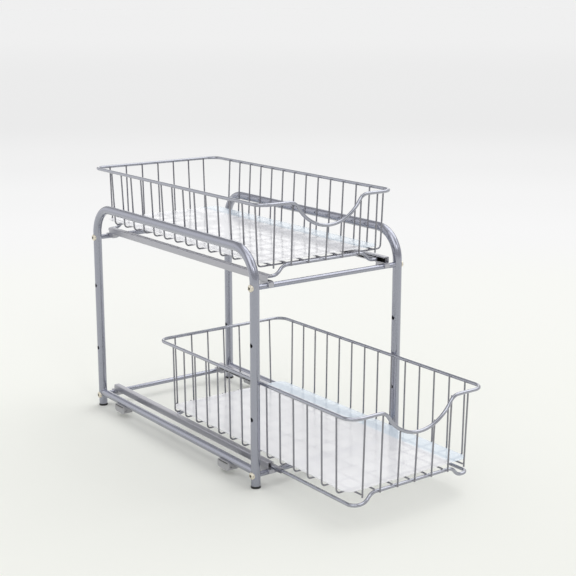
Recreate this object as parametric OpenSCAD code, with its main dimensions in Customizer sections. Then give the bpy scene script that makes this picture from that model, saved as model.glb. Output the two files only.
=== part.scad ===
// Two tier pull out basket rack for a kitchen cabinet.
// Two bent tube side frames are joined by four screwed cross bars. Each tier has a pair of
// channel rails on its bars, and a wire basket that runs in them on its own bottom loop.
// X is across the rack, Y runs from the front to the rear, and Z is up from the floor.
// The origin is on the floor, in the middle of the footprint as the rack is drawn here.

/* [Side frames] */
// Distance between the left and right leg axes
frame_w = 228; // [200:1:300]
// Distance between the front and rear leg axes
frame_d = 400; // [360:1:440]
// Height of the top tube's axis
frame_top = 301.5; // [300:0.5:420]
// Outer diameter of the frame tubes
tube_d = 12; // [10:0.5:14]
// Wall thickness of the frame tubes
tube_wall = 1; // [0.8:0.1:1.5]
// Radius of the two bends, at the tube's axis
bend_r = 40; // [25:1:60]
// Outer diameter of the base tubes
base_tube_d = 10.4; // [9:0.2:12]
// Height of the base tubes' axis
base_tube_z = 20.6; // [20:0.2:40]
// Heights of the spare holes that the upper tier can move down to
spare_holes = [90, 185];

/* [Cross bars and screws] */
// Diameter of the cross bars
bar_d = 7; // [6:0.5:8]
// Height of the lower cross bars
lower_bar_z = 16.5; // [12:0.5:20]
// Height of the upper cross bars
upper_bar_z = 256.5; // [230:0.5:258]
// Diameter of the screw shanks
screw_d = 5; // [3:0.5:5]
// How far each screw reaches into its bar
screw_grip = 8; // [6:0.5:9]
// Diameter of the screw heads
screw_head_d = 8; // [7:0.5:9]
// Height of the screw heads
screw_head_h = 2.4; // [2:0.1:3]

/* [Feet] */
// Thickness of the black cap under each leg
cap_h = 3; // [2:0.5:5]
// Length of a clip block along the base tube
pad_l = 26; // [24:1:32]
// Width of a clip block
pad_w = 14.5; // [14:0.5:18]
// Height of a clip block's underside above the floor
pad_z = 6.5; // [2:0.5:8]
// Distance of the clip blocks from the legs' axes
pad_inset = 63; // [40:1:100]

/* [Rails] */
// Gap between the legs' axes and a rail's outer face
rail_gap = 17; // [16:0.5:20]
// Sheet thickness of the rails
rail_t = 0.7; // [0.6:0.1:1]
// Thickness of the plastic glide strips in the rails
glide_t = 0.6; // [0.5:0.1:0.8]
// How far a rail runs past the front cross bar's axis
rail_front = 3; // [2:0.5:12]
// How far a rail stops short of the rear cross bar's axis
rail_rear = 4; // [0:0.5:5]
// How far the glide strip starts behind the rail's front end
glide_inset = 7; // [2:0.5:10]
// Thickness of the plastic saddle between a rail and its bar
saddle_t = 0.6; // [0.5:0.1:2]
// Width of a slide channel
slide_w = 5.3; // [5.2:0.1:6]
// Sheet thickness of the slide channels
slide_t = 0.6; // [0.5:0.1:0.8]
// Length of a slide channel
slide_l = 231; // [150:1:280]
// Length of the plastic shoe behind each slide channel
shoe_l = 14; // [8:1:20]
// Thickness of the stop ribs in the glide strips
rib_t = 0.8; // [0.6:0.1:1]

/* [Baskets] */
// Gap between the legs' axes and a basket's rim axes
basket_gap = 9; // [9:0.5:16]
// How far a basket's rim axes would reach past the legs' axes at each end, if centred on them
basket_over = 10; // [0:1:20]
// Height of the upper basket's rim above its bottom loop
upper_h = 90; // [70:1:120]
// Height of the lower basket's rim above its bottom loop
lower_h = 109.5; // [80:1:130]
// Diameter of the rim wire and of the bottom loop
loop_d = 4.5; // [4:0.1:5]
// Diameter of the wall and floor wires
wire_d = 2.2; // [1.8:0.1:2.6]
// Radius of the rim's corners
rim_corner_r = 16; // [12:1:24]
// How much shorter the bottom loop is than the rim, at each end
end_slope = 10; // [6:0.5:14]
// Radius of the bottom loop's corners
loop_corner_r = 10; // [8:1:14]
// How far the bottom loop steps up between its corners
loop_step = 11; // [9:0.5:14]
// Radius of the bends in that step
step_r = 14; // [8:1:16]
// Depth of the handle dip in the front rim
dip_depth = 34; // [20:1:44]
// Half of the handle dip's width
dip_half = 62; // [54:1:72]
// Radius of the rim where it turns down into the dip
dip_shoulder_r = 16; // [10:1:24]
// Number of wires in each side wall
side_wires = 14; // [10:1:15]
// Distance from the front rim to the upper basket's last side wire
side_margin = 16; // [16:0.5:36]
// Distance from the rear rim to the upper basket's first side wire
upper_first = 46.5; // [36:0.5:48]
// Distance from the rear rim to the lower basket's first side wire
lower_first = 32.5; // [30:0.5:48]
// Number of wires in the front and in the rear wall
end_wires = 7; // [5:2:7]
// Distance from the rim's corner bends to the outermost wires of an end wall
end_margin = 8; // [8:0.5:24]
// Bend radius where a side wire turns into the floor
floor_bend_r = 5; // [4:0.5:7]
// Thickness of the clear plastic sheet on the basket floor
liner_t = 1; // [0.6:0.1:1.5]
// Gap between the clear sheet and the wall wires
liner_gap = 4; // [2:0.5:8]
// Corner radius of the clear sheet
liner_r = 12; // [6:1:20]

/* [Drawer travel] */
// How far a closed basket sits behind the middle of the frame
closed_y = 10; // [0:1:12]
// How far the upper basket is drawn out
upper_out = 0; // [0:1:300]
// How far the lower basket is drawn out
lower_out = 174; // [0:1:300]
// How far a basket can be drawn out
travel = 300; // [250:1:300]

/* [Hidden] */
$fn = 32;

LEFT = -1;
RIGHT = 1;
FRONT = -1;
REAR = 1;
SIDES = [LEFT, RIGHT];
ENDS = [FRONT, REAR];

// Gap left between wires that are spot welded where they cross
weld_gap = 0.02;
// Clearance round a piece that slides
run_gap = 0.3;
// Clearance of a screw in a leg, on the radius
hole_clear = 0.2;
// Clearance of a plug in a tube, on the radius
plug_clear = 0.05;

// Frame
leg_x = frame_w / 2;
leg_y = frame_d / 2;
tube_r = tube_d / 2;
base_tube_r = base_tube_d / 2;
bore_r = tube_r - tube_wall;
bar_r = bar_d / 2;
bar_end = leg_x - tube_r;
screw_hole_r = screw_d / 2 + hole_clear;
thread_clear = 0.05;
head_seat_r = screw_head_d / 2;
recess_r = 1.5;
recess_depth = 1.2;

// Feet
cap_flange = 0.4;
plug_h = 9;
pad_y = leg_y - pad_inset;
pad_top = base_tube_z - base_tube_r + 2.6;
pad_round = 3.5;
pad_slot_l = 21;
pad_slot_h = 1.8;
pad_slot_z = base_tube_z - base_tube_r + 0.6;
pad_slot_depth = 2;
pad_hole_r = 1.2;
pad_hole_depth = 5;

// Rail section, from the outside in, and from the middle up
loop_r = loop_d / 2;
wire_r = wire_d / 2;
slide_h = loop_d + 2 * weld_gap + 2 * slide_t;
glide_h = slide_h + 2 * run_gap + 2 * glide_t;
rail_h = glide_h + 2 * rail_t;
race_w = rib_t + run_gap + slide_w + run_gap;
rail_w = race_w + glide_t + 2 * rail_t;
rail_round = 1.6;
lip_h = 0.9;
rail_outer_x = leg_x - rail_gap;
glide_outer_x = rail_outer_x - rail_t;
race_x = glide_outer_x - glide_t;
slide_x = race_x - rib_t - run_gap;
slide_inner_x = slide_x - slide_w;
runner_x = slide_inner_x + slide_t + weld_gap + loop_r;
rail_inner_x = rail_outer_x - rail_w;
rail_mid_x = rail_outer_x - rail_w / 2;
rail_y0 = -leg_y - rail_front;
rail_y1 = leg_y - rail_rear;
bar_to_runner = bar_r + saddle_t + rail_h / 2;
lower_runner_z = lower_bar_z + bar_to_runner;
upper_runner_z = upper_bar_z + bar_to_runner;
saddle_lip = 5;
saddle_tongue = 14;
rivet_in = 9;
saddle_wrap = 1.5;
rivet_r = 1.2;
rivet_head_r = 2.6;
rivet_head_h = 1;

// Slides and shoes, along the rack with the basket closed
basket_l = frame_d + 2 * basket_over;
basket_y0 = closed_y - basket_l / 2;
basket_y1 = closed_y + basket_l / 2;
slide_behind = 41;
slide_y1 = basket_y1 - slide_behind;
slide_y0 = slide_y1 - slide_l;
shoe_y0 = slide_y1;
shoe_y1 = shoe_y0 + shoe_l;
open_rib_y = shoe_y0 - travel - run_gap;
rib_l = 6;
close_rib_y = min(shoe_y1 + run_gap, rail_y1 - 1);

// Basket
rim_x = leg_x - basket_gap;
rim_y = basket_l / 2;
loop_y = rim_y - end_slope;
to_wire = loop_r + wire_r + weld_gap;
wall_x = rim_x - to_wire;
wall_top_y = rim_y - to_wire;
wall_foot_y = loop_y + to_wire;
wire_over = 0.7;
wire_foot = 1.2;
long_up = loop_step + to_wire;
cross_up = long_up - wire_d - weld_gap;
beside_wire = wire_d + weld_gap;
long_shift = 6.7;
long_end = 1.2;
liner_up = long_up + wire_r + weld_gap;
knuckle_over = 0.05;
bend_gap = 0.05;
step_angle = acos(1 - loop_step / step_r / 2);
step_run = 2 * step_r * sin(step_angle);
step_x0 = runner_x - loop_corner_r - 2;
step_x1 = step_x0 - step_run;
dip_angle = 2 * atan(dip_depth / dip_half);
dip_bowl_r = dip_half / sin(dip_angle) - dip_shoulder_r;
side_pitch = (basket_l - upper_first - side_margin) / (side_wires - 1);
end_pitch = 2 * (rim_x - rim_corner_r - end_margin) / (end_wires - 1);
end_xs = [for (i = [0:end_wires - 1]) (i - (end_wires - 1) / 2) * end_pitch];

// The rack's footprint as drawn, which the origin is the middle of
front_most = basket_y0 - loop_r - max(lower_out, upper_out);
rear_most = basket_y1 + loop_r;
footprint_mid = (front_most + rear_most) / 2;

STEEL = [0.66, 0.67, 0.72];
DARK_STEEL = [0.56, 0.57, 0.62];
ZINC = [0.86, 0.82, 0.7];
BLACK = [0.08, 0.08, 0.09];
PALE = [0.8, 0.81, 0.83];
CLEAR = [0.9, 0.93, 0.98, 0.5];

// How far an S shaped bend, made of two arcs, has moved sideways at a distance from its start
function s_rise(at, run, rise, start_r, end_r) =
    at <= 0 ? 0
    : at >= run ? rise
    : at <= run * start_r / (start_r + end_r) ? start_r - sqrt(pow(start_r, 2) - at * at)
    : rise - end_r + sqrt(pow(end_r, 2) - pow(run - at, 2));

// Height of the handle dip below the rim at x
function dip_at(x) =
    abs(x) >= dip_half ? 0
    : s_rise(dip_half - abs(x), dip_half, dip_depth, dip_shoulder_r, dip_bowl_r);

// Moves a piece from the frame's own middle to the middle of the footprint
module placed() {
    translate([0, -footprint_mid, 0])
        children();
}

// A straight round rod from one point to another
module rod(from, to, d) {
    span = to - from;
    translate(from)
        rotate([0, acos(span.z / norm(span)), atan2(span.y, span.x)])
            cylinder(h = norm(span), d = d);
}

// A round rod bent in the XY plane about the origin
module arc_rod(r, start, sweep, d) {
    rotate([0, 0, start])
        rotate_extrude(angle = sweep, $fn = 64)
            translate([r, 0])
                circle(d = d, $fn = 32);
}

// The same bend in the XZ plane
module upright_arc(r, start, sweep, d) {
    rotate([90, 0, 0])
        arc_rod(r, start, sweep, d);
}

// An upright bend that ends just inside the knuckle where it meets the next one
module s_arc(r, start, sweep, d) {
    upright_arc(r, start, sweep - bend_gap / r * 180 / PI, d);
}

// A ball that joins the two arcs of an S shaped bend
module knuckle(x, z, d) {
    translate([x, 0, z])
        sphere(d = d + 2 * knuckle_over, $fn = 48);
}

// A flat outline in X and Z, run along Y
module along_y(from, to) {
    translate([0, to, 0])
        rotate([90, 0, 0])
            linear_extrude(height = to - from)
                children();
}

// A rectangle between two corners with round corners
module round_rect(low, high, r) {
    translate([low.x + r, low.y])
        square([high.x - low.x - 2 * r, high.y - low.y]);
    translate([low.x, low.y + r])
        square([high.x - low.x, high.y - low.y - 2 * r]);
    for (x = [low.x + r, high.x - r])
        for (y = [low.y + r, high.y - r])
            translate([x, y])
                circle(r = r);
}

// A mirror for the right hand pieces, which are drawn as left hand ones
module on_side(side) {
    mirror([side == RIGHT ? 1 : 0, 0, 0])
        children();
}

/* ---- side frames ---- */

// The hoop's centre line: two legs, two bends and the top tube, as a rod of one diameter
module hoop_line(d, foot_z) {
    for (end = ENDS)
        rod([0, end * leg_y, foot_z], [0, end * leg_y, frame_top - bend_r], d);
    rod([0, -leg_y + bend_r, frame_top], [0, leg_y - bend_r, frame_top], d);
    for (end = ENDS)
        translate([0, end * (leg_y - bend_r), frame_top - bend_r])
            rotate([0, 0, 90])
                upright_arc(bend_r, end == REAR ? 0 : 90, 90, d);
}

// A hole right through the tube from side to side
module cross_hole(y, z, r) {
    rod([-tube_r - 1, y, z], [tube_r + 1, y, z], 2 * r);
}

module hoop(side) {
    color(STEEL)
        placed()
            translate([side * leg_x, 0, 0])
                difference() {
                    hoop_line(tube_d, cap_h);
                    hoop_line(2 * bore_r, cap_h - 1);
                    for (end = ENDS)
                        for (z = concat([lower_bar_z, upper_bar_z], spare_holes))
                            cross_hole(end * leg_y, z, screw_hole_r);
                }
}

module base_tube(side) {
    color(STEEL)
        placed()
            translate([side * leg_x, 0, 0])
                difference() {
                    rod([0, -leg_y, base_tube_z], [0, leg_y, base_tube_z], base_tube_d);
                    rod([0, -leg_y - 1, base_tube_z], [0, leg_y + 1, base_tube_z],
                        base_tube_d - 2 * tube_wall);
                    for (end = ENDS)
                        rod([0, end * leg_y, 0], [0, end * leg_y, 2 * base_tube_z], tube_d);
                }
}

/* ---- cross bars, screws and rivets ---- */

module cross_bar(end, z) {
    y = end * leg_y;
    color(STEEL)
        placed()
            difference() {
                rod([-leg_x, y, z], [leg_x, y, z], bar_d);
                for (side = SIDES) {
                    rod([side * leg_x, y, z - bar_d], [side * leg_x, y, z + bar_d], tube_d);
                    rod([side * leg_x, y, z], [side * (bar_end - screw_grip - 0.5), y, z],
                        screw_d + 2 * thread_clear);
                }
            }
}

// A pan head screw whose head sits on a leg's outer side, with a round recess
module frame_screw() {
    difference() {
        union() {
            rod([0, 0, 0], [tube_d + screw_grip, 0, 0], screw_d);
            intersection() {
                rod([-screw_head_h, 0, 0], [tube_r, 0, 0], screw_head_d);
                translate([head_seat_r * 1.05, 0, 0])
                    sphere(r = head_seat_r * 1.05 + screw_head_h);
            }
        }
        rod([-screw_head_h - 1, 0, 0], [-screw_head_h + recess_depth, 0, 0], 2 * recess_r);
        translate([tube_r, 0, -tube_d])
            cylinder(h = 2 * tube_d, r = tube_r);
    }
    rod([0, 0, 0], [tube_d + screw_grip, 0, 0], screw_d);
}

module frame_screws() {
    color(ZINC)
        placed()
            for (side = SIDES)
                for (end = ENDS)
                    for (z = [lower_bar_z, upper_bar_z])
                        on_side(side)
                            translate([-leg_x - tube_r, end * leg_y, z])
                                frame_screw();
}

module rail_rivets() {
    color(ZINC)
        placed()
            for (side = SIDES)
                for (end = ENDS)
                    for (z = [lower_bar_z, upper_bar_z])
                        translate([side * rail_mid_x, end * (leg_y - rivet_in), z])
                            rivet();
}

// A rivet up through the saddle's tongue to the floor of the rail
module rivet() {
    translate([0, 0, -saddle_wrap - rivet_head_h])
        cylinder(h = rivet_head_h, r = rivet_head_r);
    translate([0, 0, -saddle_wrap - rivet_head_h])
        cylinder(h = rivet_head_h + saddle_wrap + bar_r + saddle_t + rail_t, r = rivet_r);
}

/* ---- feet ---- */

module foot_cap(side, end) {
    color(BLACK)
        placed()
            translate([side * leg_x, end * leg_y, 0]) {
                cylinder(h = cap_h - 1, r = tube_r + cap_flange);
                cylinder(h = cap_h, r = tube_r);
                cylinder(h = cap_h + plug_h, r = bore_r - plug_clear);
            }
}

// A moulded block that clips under the base tube, with a slot in each side and a hole in each end
module clip_block(side, end) {
    hole_z = (pad_z + pad_slot_z) / 2;
    color(PALE)
        placed()
            translate([side * leg_x, end * pad_y, 0])
                difference() {
                    rotate([90, 0, 90])
                        translate([0, 0, -pad_w / 2])
                            linear_extrude(height = pad_w)
                                round_rect([-pad_l / 2, pad_z], [pad_l / 2, pad_top], pad_round);
                    rod([0, -pad_l, base_tube_z], [0, pad_l, base_tube_z], base_tube_d);
                    for (face = SIDES)
                        translate([face * pad_w / 2, 0, pad_slot_z])
                            cube([2 * pad_slot_depth, pad_slot_l, pad_slot_h], center = true);
                    for (face = ENDS)
                        rod([side * pad_w / 4, face * pad_l, hole_z],
                            [side * pad_w / 4, face * (pad_l / 2 - pad_hole_depth), hole_z],
                            2 * pad_hole_r);
                }
}

/* ---- rails, glides and saddles, drawn on the left ---- */

module rail_profile() {
    difference() {
        round_rect([-rail_outer_x, -rail_h / 2], [-rail_inner_x, rail_h / 2], rail_round);
        round_rect([-glide_outer_x, -glide_h / 2], [-rail_inner_x - rail_t, glide_h / 2],
                   rail_round - rail_t);
        translate([-rail_inner_x - rail_t - 1, -glide_h / 2 + lip_h])
            square([rail_t + 2, glide_h - 2 * lip_h]);
    }
}

module rail(side, z) {
    color(DARK_STEEL)
        placed()
            on_side(side)
                difference() {
                    translate([0, 0, z])
                        along_y(rail_y0, rail_y1)
                            rail_profile();
                    for (end = ENDS)
                        translate([-rail_mid_x, end * (leg_y - rivet_in), z - rail_h])
                            cylinder(h = rail_h, r = rivet_r);
                }
}

module glide_profile() {
    difference() {
        round_rect([-glide_outer_x, -glide_h / 2], [-rail_inner_x - rail_t, glide_h / 2],
                   rail_round - rail_t);
        translate([-race_x, -glide_h / 2 + glide_t])
            square([race_w + 1, glide_h - 2 * glide_t]);
    }
}

// A strip that lines the rail, with a rib that stops the shoe at each end of its run
module glide(side, z) {
    color(BLACK)
        placed()
            on_side(side)
                translate([0, 0, z]) {
                    along_y(rail_y0 + glide_inset, rail_y1)
                        glide_profile();
                    for (span = [[open_rib_y - rib_l, open_rib_y], [close_rib_y, rail_y1]])
                        along_y(span[0], span[1])
                            translate([-race_x, -glide_h / 2 + glide_t])
                                square([rib_t, glide_h - 2 * glide_t]);
                }
}

// A plastic seat that clips over the round bar, with a tongue riveted under the rail
module saddle(end) {
    difference() {
        mirror([0, end == REAR ? 1 : 0, 0])
            translate([-rail_w / 2 + 0.5, -saddle_lip, -saddle_wrap])
                cube([rail_w - 1, saddle_lip + saddle_tongue, saddle_wrap + bar_r + saddle_t]);
        rotate([0, 90, 0])
            cylinder(h = 2 * rail_w, r = bar_r, center = true);
        translate([0, -end * rivet_in, 0])
            cylinder(h = 4 * bar_d, r = rivet_r, center = true);
    }
}

module rail_saddles() {
    color(DARK_STEEL)
        placed()
            for (side = SIDES)
                for (end = ENDS)
                    for (z = [lower_bar_z, upper_bar_z])
                        translate([side * rail_mid_x, end * leg_y, z])
                            saddle(end);
}

/* ---- baskets, drawn about the middle of the bottom loop's sides ---- */

// Places a basket piece at its rails, drawn out by the given distance
module in_rails(z, out) {
    placed()
        translate([0, closed_y - out, z])
            children();
}

// The part of the front rim that dips down for the hand
module handle_dip(d) {
    bowl_end = dip_angle - bend_gap / dip_bowl_r * 180 / PI;
    for (side = SIDES)
        mirror([side == LEFT ? 1 : 0, 0, 0]) {
            translate([dip_half, 0, -dip_shoulder_r])
                s_arc(dip_shoulder_r, 90, dip_angle, d);
            knuckle(dip_bowl_r * sin(dip_angle), -dip_at(dip_bowl_r * sin(dip_angle)), d);
        }
    translate([0, 0, dip_bowl_r - dip_depth])
        upright_arc(dip_bowl_r, 270 - bowl_end, 2 * bowl_end, d);
}

module rim(h) {
    translate([0, 0, h]) {
        for (side = SIDES)
            rod([side * rim_x, -rim_y + rim_corner_r, 0], [side * rim_x, rim_y - rim_corner_r, 0],
                loop_d);
        rod([-rim_x + rim_corner_r, rim_y, 0], [rim_x - rim_corner_r, rim_y, 0], loop_d);
        for (side = SIDES)
            rod([side * (rim_x - rim_corner_r), -rim_y, 0], [side * dip_half, -rim_y, 0], loop_d);
        for (turn = [0:3])
            translate([(turn == 0 || turn == 3 ? 1 : -1) * (rim_x - rim_corner_r),
                       (turn < 2 ? 1 : -1) * (rim_y - rim_corner_r), 0])
                arc_rod(rim_corner_r, 90 * turn, 90, loop_d);
        translate([0, -rim_y, 0])
            handle_dip(loop_d);
    }
}

// The S shaped rise of the bottom loop's end, beside a left corner
module loop_rise() {
    translate([-step_x0, 0, step_r])
        s_arc(step_r, 270, step_angle, loop_d);
    knuckle(-(step_x0 + step_x1) / 2, loop_step / 2, loop_d);
    translate([-step_x1, 0, loop_step - step_r])
        s_arc(step_r, 90, step_angle, loop_d);
}

module bottom_loop() {
    for (side = SIDES)
        rod([side * runner_x, -loop_y + loop_corner_r, 0],
            [side * runner_x, loop_y - loop_corner_r, 0], loop_d);
    for (turn = [0:3])
        translate([(turn == 0 || turn == 3 ? 1 : -1) * (runner_x - loop_corner_r),
                   (turn < 2 ? 1 : -1) * (loop_y - loop_corner_r), 0])
            arc_rod(loop_corner_r, 90 * turn, 90, loop_d);
    for (end = ENDS)
        translate([0, end * loop_y, 0]) {
            for (side = SIDES)
                on_side(side) {
                    rod([-runner_x + loop_corner_r, 0, 0], [-step_x0, 0, 0], loop_d);
                    loop_rise();
                    rod([-step_x1, 0, loop_step], [0, 0, loop_step], loop_d);
                }
        }
}

// Where the side wires stand along the basket, from its first one at the rear
function side_ys(first) = [for (i = [0:side_wires - 1]) rim_y - first - i * side_pitch];

module side_wall(side, h, first) {
    for (y = side_ys(first))
        on_side(side)
            translate([-wall_x, y, 0]) {
                rod([0, 0, cross_up + floor_bend_r], [0, 0, h + wire_over], wire_d);
                translate([floor_bend_r, 0, cross_up + floor_bend_r])
                    upright_arc(floor_bend_r, 180, 90, wire_d);
            }
}

module end_wall(end, h) {
    for (x = end_xs)
        rod([x, end * wall_foot_y, loop_step - wire_foot],
            [x, end * wall_top_y, h + wire_over - (end == FRONT ? dip_at(x) : 0)], wire_d);
}

module basket_floor(first) {
    for (y = side_ys(first))
        rod([-wall_x + floor_bend_r, y, cross_up], [wall_x - floor_bend_r, y, cross_up], wire_d);
    for (i = [0:end_wires - 1]) {
        outermost = i == 0 || i == end_wires - 1;
        x = end_xs[i] - (outermost ? beside_wire : long_shift);
        reach = loop_y + (outermost ? to_wire : long_end);
        rod([x, -reach, long_up], [x, reach, long_up], wire_d);
    }
}

// A channel that holds the loop wire on its inner side and runs in the glide strip
module slide_channel() {
    along_y(slide_y0 - closed_y, slide_y1 - closed_y)
        difference() {
            translate([-slide_x, -slide_h / 2])
                square([slide_w, slide_h]);
            translate([-slide_x - 1, -slide_h / 2 + slide_t])
                square([slide_w - slide_t + 1, slide_h - 2 * slide_t]);
        }
}

// A plastic block on the loop wire that meets the stop ribs
module shoe() {
    along_y(shoe_y0 - closed_y, shoe_y1 - closed_y)
        difference() {
            translate([-race_x + run_gap, -slide_h / 2])
                square([race_w - 2 * run_gap, slide_h]);
            translate([-runner_x, 0])
                circle(r = loop_r + weld_gap);
        }
}

// A clear sheet that lies on the floor wires
module liner() {
    half_w = wall_x - wire_r - liner_gap;
    half_l = loop_y - liner_gap;
    translate([0, 0, liner_up])
        linear_extrude(height = liner_t)
            round_rect([-half_w, -half_l], [half_w, half_l], liner_r);
}

module upper(hue) {
    color(hue)
        in_rails(upper_runner_z, upper_out)
            children();
}

module lower(hue) {
    color(hue)
        in_rails(lower_runner_z, lower_out)
            children();
}

hoop(LEFT);  // left_hoop
hoop(RIGHT);  // right_hoop
base_tube(LEFT);  // left_base_tube
base_tube(RIGHT);  // right_base_tube
cross_bar(FRONT, upper_bar_z);  // upper_front_bar
cross_bar(REAR, upper_bar_z);  // upper_rear_bar
cross_bar(FRONT, lower_bar_z);  // lower_front_bar
cross_bar(REAR, lower_bar_z);  // lower_rear_bar
frame_screws();
foot_cap(LEFT, FRONT);  // front_left_foot
foot_cap(RIGHT, FRONT);  // front_right_foot
foot_cap(LEFT, REAR);  // rear_left_foot
foot_cap(RIGHT, REAR);  // rear_right_foot
clip_block(LEFT, FRONT);  // front_left_block
clip_block(RIGHT, FRONT);  // front_right_block
clip_block(LEFT, REAR);  // rear_left_block
clip_block(RIGHT, REAR);  // rear_right_block
rail(LEFT, upper_runner_z);  // upper_left_rail
rail(RIGHT, upper_runner_z);  // upper_right_rail
rail(LEFT, lower_runner_z);  // lower_left_rail
rail(RIGHT, lower_runner_z);  // lower_right_rail
glide(LEFT, upper_runner_z);  // upper_left_glide
glide(RIGHT, upper_runner_z);  // upper_right_glide
glide(LEFT, lower_runner_z);  // lower_left_glide
glide(RIGHT, lower_runner_z);  // lower_right_glide
rail_saddles();
rail_rivets();
upper(STEEL) rim(upper_h);  // upper_rim
upper(STEEL) bottom_loop();  // upper_bottom_loop
upper(STEEL) side_wall(LEFT, upper_h, upper_first);  // upper_left_wires
upper(STEEL) side_wall(RIGHT, upper_h, upper_first);  // upper_right_wires
upper(STEEL) end_wall(FRONT, upper_h);  // upper_front_wires
upper(STEEL) end_wall(REAR, upper_h);  // upper_rear_wires
upper(STEEL) basket_floor(upper_first);  // upper_floor_wires
upper(DARK_STEEL) on_side(LEFT) slide_channel();  // upper_left_slide
upper(DARK_STEEL) on_side(RIGHT) slide_channel();  // upper_right_slide
upper(BLACK) on_side(LEFT) shoe();  // upper_left_shoe
upper(BLACK) on_side(RIGHT) shoe();  // upper_right_shoe
upper(CLEAR) liner();  // upper_liner
lower(STEEL) rim(lower_h);  // lower_rim
lower(STEEL) bottom_loop();  // lower_bottom_loop
lower(STEEL) side_wall(LEFT, lower_h, lower_first);  // lower_left_wires
lower(STEEL) side_wall(RIGHT, lower_h, lower_first);  // lower_right_wires
lower(STEEL) end_wall(FRONT, lower_h);  // lower_front_wires
lower(STEEL) end_wall(REAR, lower_h);  // lower_rear_wires
lower(STEEL) basket_floor(lower_first);  // lower_floor_wires
lower(DARK_STEEL) on_side(LEFT) slide_channel();  // lower_left_slide
lower(DARK_STEEL) on_side(RIGHT) slide_channel();  // lower_right_slide
lower(BLACK) on_side(LEFT) shoe();  // lower_left_shoe
lower(BLACK) on_side(RIGHT) shoe();  // lower_right_shoe
lower(CLEAR) liner();  // lower_liner
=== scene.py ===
"""Dresses the two tier pull out cabinet basket for its portrait in a plain pale studio.

Every size is in metres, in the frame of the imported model: X is across the rack, Y runs from
the front to the rear, Z is up, and the floor is at zero. Places are read from the boxes of the
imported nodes, and only the bends and details that a box can't tell are fields of the classes.
"""

import logging
import math
from collections.abc import Callable, Sequence
from dataclasses import dataclass, field
from enum import Enum

import bmesh
import bpy
import numpy as np
from mathutils import Euler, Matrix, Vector


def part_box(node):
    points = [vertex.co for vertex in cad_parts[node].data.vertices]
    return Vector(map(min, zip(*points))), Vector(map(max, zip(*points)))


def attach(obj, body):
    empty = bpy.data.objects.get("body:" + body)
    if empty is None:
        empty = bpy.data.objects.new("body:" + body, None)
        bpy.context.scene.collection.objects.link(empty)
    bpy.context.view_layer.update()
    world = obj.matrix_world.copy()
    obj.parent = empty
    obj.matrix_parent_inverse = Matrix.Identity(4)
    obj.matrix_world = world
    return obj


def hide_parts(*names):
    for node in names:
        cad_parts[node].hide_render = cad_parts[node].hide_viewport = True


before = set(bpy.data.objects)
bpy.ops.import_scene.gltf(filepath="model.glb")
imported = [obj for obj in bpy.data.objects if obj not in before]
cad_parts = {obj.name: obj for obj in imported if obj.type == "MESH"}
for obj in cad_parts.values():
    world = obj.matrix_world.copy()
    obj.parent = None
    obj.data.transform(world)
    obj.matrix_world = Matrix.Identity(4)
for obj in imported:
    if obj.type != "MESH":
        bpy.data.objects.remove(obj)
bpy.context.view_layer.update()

LOG = logging.getLogger("cabinet_basket")
MM = 0.001
MERGE_WITHIN = 0.002 * MM
SCATTER_DEPTH = 2 * MM
MARGIN_FADE = 5 * MM
NOISE_RANGE = (0.3, 0.7)
NOISE_SUM_RANGE = (0.6, 1.4)
BEAD_SIDES = 8
# Angles in degrees.
BEAD_ROWS = (-60.0, -30.0, 0.0, 30.0, 60.0)
BEND_STEP = 6.0
FLAT_WITHIN = 1.0
BEVEL_FROM = 40.0
NEW_CREASE, COPY_CREASE, DRILLED_CREASE = 40.0, 30.0, 35.0
# Angles in radians: the rings of a rounded edge, from its tip to the full width.
EDGE_TURN = np.radians([90.0, 60.0, 30.0, 0.0])
X_AXIS = np.array([1.0, 0.0, 0.0])
Y_AXIS = np.array([0.0, 1.0, 0.0])
Z_AXIS = np.array([0.0, 0.0, 1.0])


class Tier(Enum):
    """The two levels of the rack, named as their nodes are."""

    UPPER = "upper"
    LOWER = "lower"


class Opposite(Enum):
    """One of two opposite places, with the sign of its axis there."""

    @property
    def word(self) -> str:
        """The place's name as the nodes have it."""
        return self.name.lower()


class Side(Opposite):
    """The two sides of the rack, with the sign of X there."""

    LEFT = -1
    RIGHT = 1


class End(Opposite):
    """The two ends of the rack, with the sign of Y there."""

    FRONT = -1
    REAR = 1


# ---- surfaces ----


@dataclass
class Surface:
    """A closed surface as plain arrays: its vertices, its quads and its triangles."""

    points: np.ndarray
    quads: np.ndarray
    triangles: np.ndarray = field(default_factory=lambda: np.zeros((0, 3), int))

    def moved(self, offset: Sequence[float]) -> "Surface":
        """The same surface at another place."""
        return Surface(self.points + np.asarray(offset), self.quads, self.triangles)

    def mirrored(self) -> "Surface":
        """The surface mirrored in the plane X = 0, with its faces still pointing outwards."""
        return Surface(self.points * [-1, 1, 1], self.quads[:, ::-1], self.triangles[:, ::-1])

    def repeated(self, offsets: np.ndarray) -> "Surface":
        """One copy of the surface at each offset, worked out as whole arrays.

        Args:
            offsets: One row of X, Y, Z for each copy.

        Returns:
            All the copies as one surface.
        """
        count = len(self.points)
        points = (self.points[None, :, :] + offsets[:, None, :]).reshape(-1, 3)
        steps = np.arange(len(offsets))[:, None, None] * count
        return Surface(points, (self.quads[None] + steps).reshape(-1, 4),
                       (self.triangles[None] + steps).reshape(-1, 3))


def joined(parts: Sequence[Surface]) -> Surface:
    """Several surfaces as one, each with its faces counted on from the one before.

    Args:
        parts: The surfaces.

    Returns:
        All of them as one surface.
    """
    starts = np.cumsum([0] + [len(part.points) for part in parts[:-1]])
    return Surface(
        np.concatenate([part.points for part in parts]),
        np.concatenate([part.quads + start for part, start in zip(parts, starts)]),
        np.concatenate([part.triangles + start for part, start in zip(parts, starts)]),
    )


def unit(vectors: np.ndarray) -> np.ndarray:
    """Each row divided by its length."""
    return vectors / np.linalg.norm(vectors, axis=1)[:, None]


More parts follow.
